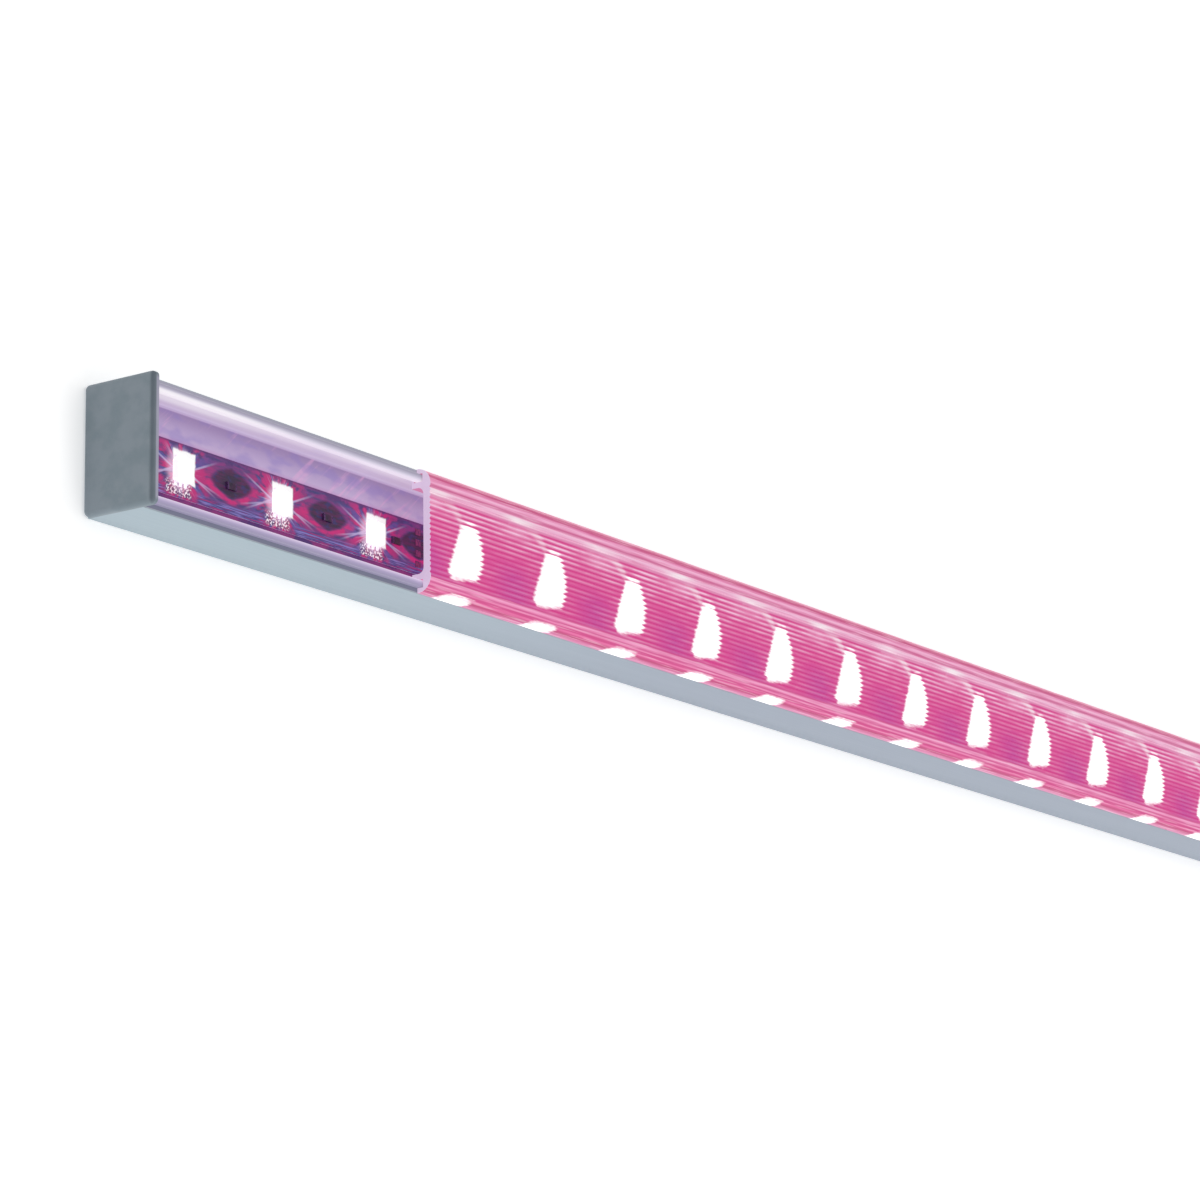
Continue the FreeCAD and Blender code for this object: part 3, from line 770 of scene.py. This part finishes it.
def board_material(sizes, pitch):
    """Dark solder mask with the packages' light, rays and shade lying on it."""
    recipe = Recipe("dark_board")
    x, y, _ = recipe.place

    # from_gap is counted from half-way between two packages, and reach from the nearer package
    cell = x / pitch + HALF_STRIP
    gap = cell.rounded()
    from_gap = (cell - gap) * pitch
    reach = pitch / 2 - abs(from_gap)
    away = (reach ** 2 + y ** 2) ** 0.5
    bearing = recipe.math("ARCTAN2", y, reach)
    hand = from_gap.sign()
    package = from_gap - hand * (pitch / 2)

    smear = recipe.noise(x / 5.5, y / 0.8, 0.0, detail=4.0)
    speck = recipe.noise(x / 0.55, y / 0.55, 5.0)
    patch = recipe.noise(x / 2.6, y / 1.5, 7.0, detail=3.0)
    fan = recipe.noise(bearing * 4.0, gap * 2.3 + hand * 0.9, away / 7, detail=3.0)
    hair = recipe.noise(bearing * 13, gap * 3.1 + hand * 1.7, away / 30)
    streaks = recipe.noise((x + y * 3.0) / 9, y / 0.4, 9.0, detail=3.0)

    # red and blue light fanned out around each package
    red_fan = (fan * 0.6 + patch * 0.4).rise(0.44, 0.56) * away.fall(5.0, 13.5)
    blue_fan = fan.fall(0.4, 0.48) * away.fall(5.0, 15.0)

    # the chip's shade half-way between two packages, with a bright rim below
    drop = y - 0.7
    eye = (abs(from_gap - 0.3) / 8.2) ** 1.25 + (abs(drop) / 3.9) ** 1.6
    rim = eye.rise(0.7, 0.95) * eye.fall(1.15, 1.55) * (drop.fall(-1.5, 1.0) * 0.75 + 0.15)
    uneven = (patch * 0.6 + smear * 0.4).rise(0.4, 0.56)
    heart = recipe.layers(
        sizes.dark,
        (smear.rise(0.4, 0.62), paint(80, 18, 74)),
        (patch.rise(0.5, 0.65) * 0.7, paint(44, 42, 104)))

    # thin straight rays to both sides of each package
    out_by = reach - 2.4
    straight = abs(abs(y - 0.2) - out_by * 0.42).fall(0.05, 0.42) * reach.fall(5.0, 13.5)
    low_ray = abs(y + 0.4 + out_by * 0.24).fall(0.05, 0.36) * reach.fall(6.0, 15.0)
    hairs = hair.rise(0.55, 0.68) * away.fall(3.6, 8.0)
    rays = straight.at_least(low_ray * 0.85).at_least(hairs * 0.8)

    # painted shade along the long edges, with drawn-out streaks of painted light
    low_edge = y.fall(-4.9, -3.6) * abs(from_gap).fall(9.5, 12.5)
    edge_light_and_shade = recipe.layers(
        paint(58, 48, 116),
        (streaks.rise(0.46, 0.6), paint(132, 122, 194)),
        (streaks.fall(0.36, 0.46), paint(168, 40, 116)))
    top_edge = y.rise(4.2, 5.0) * patch.fall(0.4, 0.55)

    # solder and flux that catch the light around the leads, and the glare over the package
    below = abs(y + 4.1).fall(1.2, 1.8) * abs(package + 0.6).fall(3.4, 4.6)
    halo = (away + (fan - 0.5) * 3.0).fall(3.2, 5.6)
    glare = (abs(package - 1.2) - 3.5).at_least(abs(y - 0.9) - 3.4) + (fan - 0.5) * 0.8

    shade = recipe.layers(
        sizes.navy,
        (smear.rise(0.38, 0.6), sizes.purple),
        (red_fan * 0.85, sizes.magenta),
        (blue_fan * 0.55, paint(92, 88, 168)),
        (rim * (0.4 + 0.6 * uneven), sizes.magenta),
        (eye.fall(0.62, 0.95), heart),
        (rays * (0.45 + 0.5 * patch), sizes.lilac),
        (low_edge * 0.85, edge_light_and_shade),
        (top_edge * 0.8, paint(66, 40, 104)),
        (y.rise(5.4, 5.8) * 0.7, paint(88, 34, 100)),
        (below * speck.fall(0.44, 0.5) * 0.8, paint(92, 80, 108)),
        (speck.rise(0.5, 0.58) * below, paint(250, 240, 248)),
        (halo * 0.5, paint(250, 206, 236)),
        (glare.fall(-0.2, 0.35), WHITE))
    return recipe.lit(shade, 0.72, Roughness=0.4 + speck * 0.15,
                      Normal=recipe.bump(smear, 0.2, 0.03))


def case_material(sizes):
    """White moulded case, lit through."""
    recipe = Recipe("white_led_case")
    grain = recipe.cloud(0.4)
    white = recipe.mix(grain * 0.1, sizes.white, paint(250, 244, 252))
    return recipe.surface(Base_Color=white, Emission_Color=white, Emission_Strength=0.7,
                          Roughness=0.45 + grain * 0.1)


def window_material(sizes):
    """Clear resin over the light's dies, glowing white."""
    recipe = Recipe("led_window")
    x, y, _ = recipe.place
    pitch = sizes.pitch / MM
    cell = (x / pitch + HALF_STRIP).part() - 0.5
    away = ((cell * pitch) ** 2 + y ** 2) ** 0.5
    glow = recipe.mix(away.rise(1.2, 2.2), WHITE, paint(255, 246, 252))
    return recipe.surface(Base_Color=paint(245, 242, 246), Emission_Color=glow,
                          Emission_Strength=2.2, Roughness=0.08, IOR=1.5, Coat_Weight=0.3)


def metal_material(name, bright, dull, scale, glow=0.0, metallic=0.9):
    """Plated or soldered metal with a slightly uneven skin; glow paints the strip's light on it."""
    recipe = Recipe(name)
    skin = recipe.cloud(scale, detail=3.0)
    tone = recipe.mix(skin.rise(0.35, 0.7), paint(*bright), paint(*dull))
    return recipe.surface(
        Base_Color=tone, Emission_Color=recipe.scaled(tone, skin.rise(0.2, 0.6)),
        Emission_Strength=glow, Metallic=metallic, Roughness=0.25 + skin * 0.3,
        Normal=recipe.bump(skin, 0.35, 0.03))


def plastic_material(name, tone, other, scale, roughness=0.5, glow=0.0, coat=0.0):
    """Moulded or coated plastic: a cloudy tone and a fine grain; glow paints the strip's light on
    it.
    """
    recipe = Recipe(name)
    cloud = recipe.cloud(scale, detail=3.0)
    grain = recipe.cloud(0.12)
    mixed = recipe.mix(cloud.rise(0.35, 0.7), paint(*tone), paint(*other))
    return recipe.surface(Base_Color=mixed, Emission_Color=mixed, Emission_Strength=glow,
                          Roughness=roughness + grain * 0.12, Coat_Weight=coat,
                          Normal=recipe.bump(grain, 0.2, 0.01))


# ---------------------------------------------------------------- operators


class BattenStep(bpy.types.Operator):
    """Base of the batten's building steps."""

    bl_options = {"REGISTER", "UNDO"}


class BATTEN_OT_stage(BattenStep):
    """Sets the pale floor, the soft lights and the camera"""

    bl_idname = "batten.stage"
    bl_label = "Stage"

    floor_drop = 0.2 * MM
    backdrop = (0.80, 0.80, 0.81)
    lamps = (("top_light", (0.1, 0.1, 1.6), (0, 0, 0), 1.4),
             ("side_light", (0.0, -1.5, 0.55), (0, 0, 0.02), 1.1))
    camera_place = (-0.939785, -0.261227, 0.607090)
    camera_right = Vector((0.574755, -0.014884, 0.818189))
    camera_up = Vector((-0.190633, 0.969891, 0.151558))

    def execute(self, context):
        sizes = context.scene.batten_stage
        context.scene.view_settings.view_transform = "Standard"
        self.lay_floor(sizes)
        self.light_sky(context.scene, sizes)
        for lamp in self.lamps:
            self.hang_lamp(*lamp, getattr(sizes, lamp[0]))
        self.place_camera(context.scene, sizes)
        return {"FINISHED"}

    def lay_floor(self, sizes):
        deselect_all()
        bpy.ops.mesh.primitive_plane_add(size=sizes.floor_size,
                                         location=(0, 0, cad_low.z - self.floor_drop))
        floor = take("pale_floor")
        recipe = Recipe("pale_floor")
        x, y, _ = recipe.place
        cloud = recipe.noise(x / 300, y / 300, 0.0)
        tone = recipe.mix(cloud * 0.04, sizes.floor_colour, paint(236, 236, 240))
        floor.data.materials.append(recipe.surface(Base_Color=tone, Roughness=0.8,
                                                   Emission_Color=tone, Emission_Strength=0.46))

    def light_sky(self, scene, sizes):
        """An even white light, behind a plain backdrop."""
        scene.world = bpy.data.worlds.new("even_light")
        scene.world.use_nodes = True
        nodes, link = scene.world.node_tree.nodes, scene.world.node_tree.links.new
        even = nodes["Background"]
        even.inputs["Color"].default_value = (*WHITE, 1.0)
        even.inputs["Strength"].default_value = sizes.sky
        seen = nodes.new("ShaderNodeBackground")
        seen.inputs["Color"].default_value = (*self.backdrop, 1.0)
        ray = nodes.new("ShaderNodeLightPath")
        either = nodes.new("ShaderNodeMixShader")
        link(ray.outputs["Is Camera Ray"], either.inputs["Fac"])
        link(even.outputs["Background"], either.inputs[1])
        link(seen.outputs["Background"], either.inputs[2])
        link(either.outputs["Shader"], nodes["World Output"].inputs["Surface"])

    def hang_lamp(self, name, place, aim, side, power):
        bpy.ops.object.light_add(type="AREA", location=place)
        lamp = bpy.context.object
        lamp.name = name
        lamp.data.energy = power
        lamp.data.size = side
        lamp.rotation_mode = "QUATERNION"
        lamp.rotation_quaternion = (Vector(aim) - Vector(place)).to_track_quat("-Z", "Y")

    def place_camera(self, scene, sizes):
        right, up = self.camera_right, self.camera_up
        bpy.ops.object.camera_add(location=self.camera_place)
        camera = bpy.context.object
        camera.rotation_mode = "QUATERNION"
        turned = Matrix((right, up, right.cross(up))).transposed()
        camera.rotation_quaternion = turned.to_quaternion()
        camera.data.lens = sizes.lens
        camera.data.sensor_width = 36.0
        camera.data.clip_start = 0.01
        scene.camera = camera


class BATTEN_OT_cover(BattenStep):
    """Draws the ribbed cover's section and pulls it along the batten"""

    bl_idname = "batten.cover"
    bl_label = "Ribbed cover"

    inner_round = 1.5 * MM
    hook_slope = (0.3 * MM, 0.2 * MM)
    rib_steps = 6
    rib_fullness = 2.2

    def execute(self, context):
        sizes = context.scene.batten_cover
        low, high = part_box("ribbed_cover")
        piece = draw_bar("cover_shell", self.outline(sizes, low, high), low.x, high.x)
        settle(piece, 40)
        dress(piece, cover_material(sizes), "cover", "ribbed_cover")
        return {"FINISHED"}

    def outline(self, sizes, low, high):
        """The section: ribs, shoulder, rim, lip groove, leg with its hook, and ceiling."""
        shoulder = arc(high.y - sizes.shoulder, high.z - sizes.shoulder, sizes.shoulder, 90, 0, 12)
        slope_in, slope_up = self.hook_slope
        under = [
            (high.y, sizes.rim_bottom), (sizes.rim_inside, sizes.rim_bottom),
            (sizes.rim_inside, sizes.lip_seat), (sizes.leg_outside, sizes.lip_seat),
            (sizes.leg_outside, sizes.hook_top), (sizes.hook_outside, sizes.hook_top),
            (sizes.hook_outside, low.z + slope_up), (sizes.hook_outside - slope_in, low.z),
            (sizes.leg_inside, low.z),
        ]
        inner = arc(sizes.leg_inside - self.inner_round, sizes.wall_top - self.inner_round,
                    self.inner_round, 0, 90, 6)
        return mirror_outline(self.ribs(sizes, high.z) + shoulder + under + inner)

    def ribs(self, sizes, top):
        """Rounded ribs from the middle outwards, each an arc between two sharp grooves."""
        points = [(0.0, top - sizes.rib_depth)]
        for rib in range(sizes.ribs // 2):
            for step in range(1, self.rib_steps + 1):
                part = step / self.rib_steps
                swell = 1 - abs(2 * part - 1) ** self.rib_fullness
                points.append(((rib + part) * sizes.rib_pitch,
                               top - sizes.rib_depth * (1 - swell)))
        points.append(((sizes.ribs // 2 + 0.4) * sizes.rib_pitch, top))
        return points


class BATTEN_OT_channel(BattenStep):
    """Draws the aluminium channel's section and pulls it along the batten"""

    bl_idname = "batten.channel"
    bl_label = "Aluminium channel"

    def execute(self, context):
        sizes = context.scene.batten_channel
        low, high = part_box("channel")
        piece = draw_bar("channel_extrusion", self.outline(sizes, high), low.x, high.x)
        lips = {(sizes.lip_outside, sizes.lip_height), (sizes.mouth, sizes.lip_height)}
        round_edges(piece, sizes.lip_round, 4, at_corners(lips))
        sharp = {(half, z) for half in (high.y, sizes.chamber) for z in (
            0.0, sizes.ledge, sizes.floor, sizes.lip_under, sizes.floor_under, sizes.back_wall)}
        sharp |= {(sizes.mouth, sizes.lip_under), (sizes.rear_slot, 0.0),
                  (sizes.rear_slot, sizes.back_wall)}
        round_edges(piece, sizes.edge, 3, at_corners(sharp))
        settle(piece)
        dress(piece, channel_material(sizes), "housing", "channel")
        return {"FINISHED"}

    def outline(self, sizes, high):
        """The section: back with its slot, outer wall, ledge, lip, chamber and rear chamber."""
        front = [
            (sizes.rear_slot, 0.0), (high.y, 0.0),
            (high.y, sizes.ledge), (sizes.lip_outside, sizes.ledge),
            (sizes.lip_outside, sizes.lip_height), (sizes.mouth, sizes.lip_height),
            (sizes.mouth, sizes.lip_under), (sizes.chamber, sizes.lip_under),
            (sizes.chamber, sizes.floor),
        ]
        rear = [
            (-sizes.rear_slot, sizes.back_wall), (-sizes.chamber, sizes.back_wall),
            (-sizes.chamber, sizes.floor_under), (sizes.chamber, sizes.floor_under),
            (sizes.chamber, sizes.back_wall), (sizes.rear_slot, sizes.back_wall),
        ]
        return mirror_outline(front) + rear


class BATTEN_OT_caps(BattenStep):
    """Models both moulded end caps, the right one with the inlet's window"""

    bl_idname = "batten.caps"
    bl_label = "End caps"

    ease = 0.3 * MM
    overlap = 0.1 * MM
    cutter_reach = 5 * MM

    def execute(self, context):
        sizes = context.scene.batten_caps
        material = cap_material(sizes)
        for end, side in (("left", -1), ("right", 1)):
            cap = self.cap("cap_%s_shell" % end, sizes, side)
            dress(cap, material, "housing", "end_cap_" + end)
        return {"FINISHED"}

    def cap(self, name, sizes, side):
        """A rounded plate with three spigots behind it; side is -1 left or 1 right."""
        outer = cad_low.x if side < 0 else cad_high.x
        inner = outer - side * sizes.thickness
        low, high = sorted((outer, inner))
        plate = add_block(name, (low, cad_low.y, cad_low.z), (high, cad_high.y, cad_high.z))
        round_edges(plate, sizes.corner, 6, lambda edge: runs_along(edge, 0)
                    and near(abs(middle(edge).y), cad_high.y))
        round_edges(plate, sizes.edge, 6, lambda edge: all(near(vert.co.x, outer)
                                                           for vert in edge.verts))
        leave_edit()
        if side > 0:
            self.cut_window(plate, sizes, outer)
        front = (sizes.side_bottom, sizes.side_top)
        parts = [plate]
        for left, right, (bottom, top) in (
            (-sizes.spigot_side, -sizes.spigot_gap, front),
            (sizes.spigot_gap, sizes.spigot_side, front),
            (-sizes.spigot_side, sizes.spigot_side, (sizes.rear_bottom, sizes.rear_top)),
        ):
            parts.append(self.spigot(inner, side, sizes.spigot_length, (left, bottom),
                                     (right, top)))
        return settle(join(name, parts), 40)

    def cut_window(self, plate, sizes, outer):
        """Cuts the inlet's opening with a block whose corners are rounded."""
        half = sizes.window_width / 2
        bottom = sizes.window_middle - sizes.window_height / 2
        cutter = add_block("window_cutter", (outer - self.cutter_reach, -half, bottom),
                           (outer + self.cutter_reach, half, bottom + sizes.window_height))
        round_edges(cutter, self.ease, 3, lambda edge: runs_along(edge, 0))
        leave_edit()
        cut_away(plate, cutter)

    def spigot(self, inner, side, reach, low_corner, high_corner):
        """One spigot that stands in the channel, its far end eased."""
        low, high = sorted((inner + side * self.overlap, inner - side * reach))
        piece = add_block("spigot", (low, *low_corner), (high, *high_corner))
        round_edges(piece, self.ease, 3,
                    lambda edge: near(middle(edge).x, inner - side * reach))
        leave_edit()
        return piece


class BATTEN_OT_lights(BattenStep):
    """Models one light package with its cup, resin and leads, and repeats it along the strip"""

    bl_idname = "batten.lights"
    bl_label = "Light packages"

    marked_corner = 0.8 * MM
    other_corners = 0.25 * MM
    waist_height = 0.75 * MM
    taper = 0.95
    cup_depth = 0.9 * MM
    cup_sides = 40
    resin_drop = 0.03 * MM
    hollow = ((0.15, 0.03), (0.4, 0.04), (0.6, 0.03), (0.5, 0.01))
    lead_foot = 6.3
    lead_profile = [(2.42, 7.02), (2.76, 7.02), (2.88, 6.98), (2.95, 6.88), (2.96, 6.66),
                    (3.02, 6.55), (3.14, 6.46), (3.34, 6.38), (3.62, 6.33), (3.66, 6.3),
                    (2.42, 6.3)]

    def execute(self, context):
        sizes = context.scene.batten_lights
        low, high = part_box("led_bodies_1")
        centre = low.x + sizes.size / 2
        # the tinned leads painted near white, glowing with their package's painted light
        tinned = metal_material("tinned_leads", (246, 244, 248), (206, 200, 214), 0.5, glow=0.9,
                                metallic=0.4)
        for name, first, material, slot, nodes in (
            ("light_cases", self.case(sizes, centre, low, high), case_material(sizes),
             "white_led_case", "led_bodies"),
            ("light_windows", self.window(sizes, centre, high), window_material(sizes),
             "led_window", "led_windows"),
            ("light_leads", self.leads(sizes, centre, low), tinned, "tinned_metal", "led_pins"),
        ):
            only(first)
            bpy.ops.object.mode_set(mode="EDIT")
            for _ in range(PER_SEGMENT - 1):
                bpy.ops.mesh.select_all(action="SELECT")
                shift_copy(sizes.pitch)
            settle(first)
            only(first)
            repeat_segments(take(name + "_1"), name, sizes.pitch, material, nodes)
        return {"FINISHED"}

    def case(self, sizes, centre, low, high):
        """A white case: two-step sides, rounded corners, a marked corner and a round cup."""
        half = sizes.size / 2
        piece = add_block("light_case", (centre - half, -half, low.z),
                          (centre + half, half, high.z))
        round_edges(piece, self.marked_corner, 1, lambda edge: runs_along(edge, 2)
                    and middle(edge).x < centre and middle(edge).y > 0)
        round_edges(piece, self.other_corners, 3, lambda edge: runs_along(edge, 2)
                    and (middle(edge).x > centre or middle(edge).y < 0))
        waist = low.z + self.waist_height
        bpy.ops.mesh.select_all(action="SELECT")
        bpy.ops.mesh.bisect(plane_co=(centre, 0, waist), plane_no=(0, 0, 1))
        select_parts(piece, "VERT", lambda vert: vert.co.z > waist + 0.1 * MM)
        bpy.ops.transform.resize(value=(self.taper, self.taper, 1),
                                 center_override=(centre, 0, high.z))
        select_parts(piece, "FACE", lambda face: face.normal.z > 0.9
                     and near(middle(face).z, high.z))
        bpy.ops.mesh.bevel(offset=0.1 * MM, segments=2, affect="EDGES")
        leave_edit()
        spare = 0.05 * MM
        cutter = self.cone("cup_cutter", sizes.cup_floor, sizes.cup_top + spare,
                           self.cup_depth + 2 * spare,
                           (centre, 0, high.z - self.cup_depth / 2 + spare))
        cut_away(piece, cutter)
        return piece

    def cone(self, name, radius_low, radius_high, depth, centre):
        deselect_all()
        bpy.ops.mesh.primitive_cone_add(vertices=self.cup_sides, radius1=radius_low,
                                        radius2=radius_high, depth=depth, location=centre)
        return take(name)

    def window(self, sizes, centre, high):
        """Resin that fills the cup, its top drawn slightly down to a hollow."""
        bottom, top = high.z - self.cup_depth, high.z - self.resin_drop
        piece = self.cone("light_window", sizes.cup_floor, sizes.cup_top, top - bottom,
                          (centre, 0, (top + bottom) / 2))
        bpy.ops.object.transform_apply(location=True)
        bpy.ops.object.mode_set(mode="EDIT")
        select_parts(piece, "FACE", lambda face: face.normal.z > 0.9)
        for inset, drop in self.hollow:
            bpy.ops.mesh.inset(thickness=inset * MM)
            bpy.ops.transform.translate(value=(0, 0, -drop * MM))
        leave_edit()
        return piece

    def leads(self, sizes, centre, low):
        """Six bent leads with their solder fillets."""
        made = []
        lift = low.z / MM - self.lead_foot
        half = sizes.lead_width / 2
        solder_top = low.z + 0.05 * MM
        for side in (-1, 1):
            outline = [(side * y * MM, (z + lift) * MM) for y, z in self.lead_profile]
            for place in (-1, 0, 1):
                at = centre + place * sizes.lead_spacing
                made.append(draw_bar("lead", outline, at - half, at + half))
                round_edges(made[-1], 0.06 * MM, 2, lambda edge: not runs_along(edge, 0)
                            and middle(edge).z > solder_top)
                leave_edit()
        return join("light_lead", made)


class BATTEN_OT_chips(BattenStep):
    """Models one chip resistor and repeats it along the strip"""

    bl_idname = "batten.chips"
    bl_label = "Chip resistors"

    glaze_inset = 0.18 * MM
    glaze_rise = 0.03 * MM
    long_edge = 0.05 * MM

    def execute(self, context):
        sizes = context.scene.batten_lights
        low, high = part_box("resistors_1")
        piece = add_block("chip_bodies_1", low, (low.x + sizes.chip_length, high.y, high.z))
        select_parts(piece, "FACE", lambda face: face.normal.z > 0.9)
        bpy.ops.mesh.inset(thickness=self.glaze_inset)
        bpy.ops.transform.translate(value=(0, 0, self.glaze_rise))
        round_edges(piece, self.long_edge, 2, lambda edge: runs_along(edge, 0)
                    and middle(edge).z > low.z + 0.3 * MM)
        bpy.ops.mesh.select_all(action="SELECT")
        shift_copy(sizes.pitch)
        shift_copy(high.x - low.x - sizes.chip_length - sizes.pitch)
        settle(piece)
        ceramic = plastic_material("black_ceramic", (38, 16, 52), (66, 20, 66), 0.8, roughness=0.3)
        repeat_segments(piece, "chip_bodies", sizes.pitch, ceramic, "resistors")
        return {"FINISHED"}


class BATTEN_OT_strip(BattenStep):
    """Finishes the board, its tape, its pads and its solder"""

    bl_idname = "batten.strip"
    bl_label = "Board and tape"

    def execute(self, context):
        scene = context.scene
        pitch = scene.batten_lights.pitch / MM
        dress_node("strip_board", board_material(scene.batten_board, pitch))
        # the white tape painted lilac, with a faint painted glow of the strip's light
        dress_node("adhesive_tape", plastic_material(
            "white_tape", (214, 198, 218), (196, 176, 206), 1.2, roughness=0.7, glow=0.2))
        # the pads painted pink-purple with a faint painted glow, as the strip lights them
        dress_node("copper_pads", metal_material(
            "plated_copper", (150, 86, 128), (104, 58, 108), 0.5, glow=0.15))
        # the solder's faint glow is painted light
        dress_node("solder_joints", metal_material(
            "solder", (214, 214, 220), (168, 168, 178), 0.4, glow=0.1))
        # the tinned ends painted dark purple, in the strip's painted light and shade
        dress_node("resistor_ends", metal_material(
            "tinned_ends", (104, 66, 118), (60, 34, 76), 0.4, glow=0.1, metallic=0.5))
        return {"FINISHED"}


class BATTEN_OT_inlet(BattenStep):
    """Finishes the inlet, its contacts and the four leads inside the cap"""

    bl_idname = "batten.inlet"
    bl_label = "Inlet and leads"

    def execute(self, context):
        dress_node("inlet_housing", plastic_material(
            "black_socket", (40, 41, 44), (54, 55, 58), 1.5, roughness=0.42))
        dress_node("inlet_contacts", metal_material(
            "contact_brass", (226, 196, 120), (190, 156, 90), 0.5))
        for node, tone, other in (
            ("lead_supply", (34, 34, 36), (48, 48, 50)),
            ("lead_red", (190, 34, 30), (160, 24, 24)),
            ("lead_green", (40, 150, 62), (30, 122, 50)),
            ("lead_blue", (38, 74, 180), (30, 58, 150)),
        ):
            dress_node(node, plastic_material("insulation_" + node, tone, other, 0.9,
                                              roughness=0.34, coat=0.2))
        return {"FINISHED"}


class BATTEN_OT_nuts(BattenStep):
    """Finishes the two nuts in the rear slot"""

    bl_idname = "batten.nuts"
    bl_label = "Slot nuts"

    def execute(self, context):
        zinc = metal_material("zinc_steel", (198, 202, 204), (164, 170, 174), 2.0)
        for node in ("slot_nut_left", "slot_nut_right"):
            dress_node(node, zinc)
        return {"FINISHED"}


STEPS = (BATTEN_OT_stage, BATTEN_OT_cover, BATTEN_OT_channel, BATTEN_OT_caps, BATTEN_OT_lights,
         BATTEN_OT_chips, BATTEN_OT_strip, BATTEN_OT_inlet, BATTEN_OT_nuts)


class BATTEN_PT_steps(bpy.types.Panel):
    """Lists the building steps and their settings."""

    bl_idname = "BATTEN_PT_steps"
    bl_label = "LED strip batten"
    bl_space_type = "VIEW_3D"
    bl_region_type = "UI"
    bl_category = "Batten"

    def draw(self, context):
        for step in STEPS:
            self.layout.operator(step.bl_idname)
        for name, group in GROUPS.items():
            box = self.layout.box()
            box.label(text=group.__doc__)
            for key in group.__annotations__:
                box.prop(getattr(context.scene, name), key)


def register():
    for group in GROUPS.values():
        bpy.utils.register_class(group)
    for step in STEPS:
        bpy.utils.register_class(step)
    bpy.utils.register_class(BATTEN_PT_steps)
    for name, group in GROUPS.items():
        setattr(bpy.types.Scene, name, bpy.props.PointerProperty(type=group))


def unregister():
    for name in GROUPS:
        delattr(bpy.types.Scene, name)
    bpy.utils.unregister_class(BATTEN_PT_steps)
    for step in reversed(STEPS):
        bpy.utils.unregister_class(step)
    for group in reversed(GROUPS.values()):
        bpy.utils.unregister_class(group)


def main():
    register()
    bpy.ops.batten.stage()
    bpy.ops.batten.cover()
    bpy.ops.batten.channel()
    bpy.ops.batten.caps()
    bpy.ops.batten.lights()
    bpy.ops.batten.chips()
    bpy.ops.batten.strip()
    bpy.ops.batten.inlet()
    bpy.ops.batten.nuts()


if __name__ == "__main__":
    main()
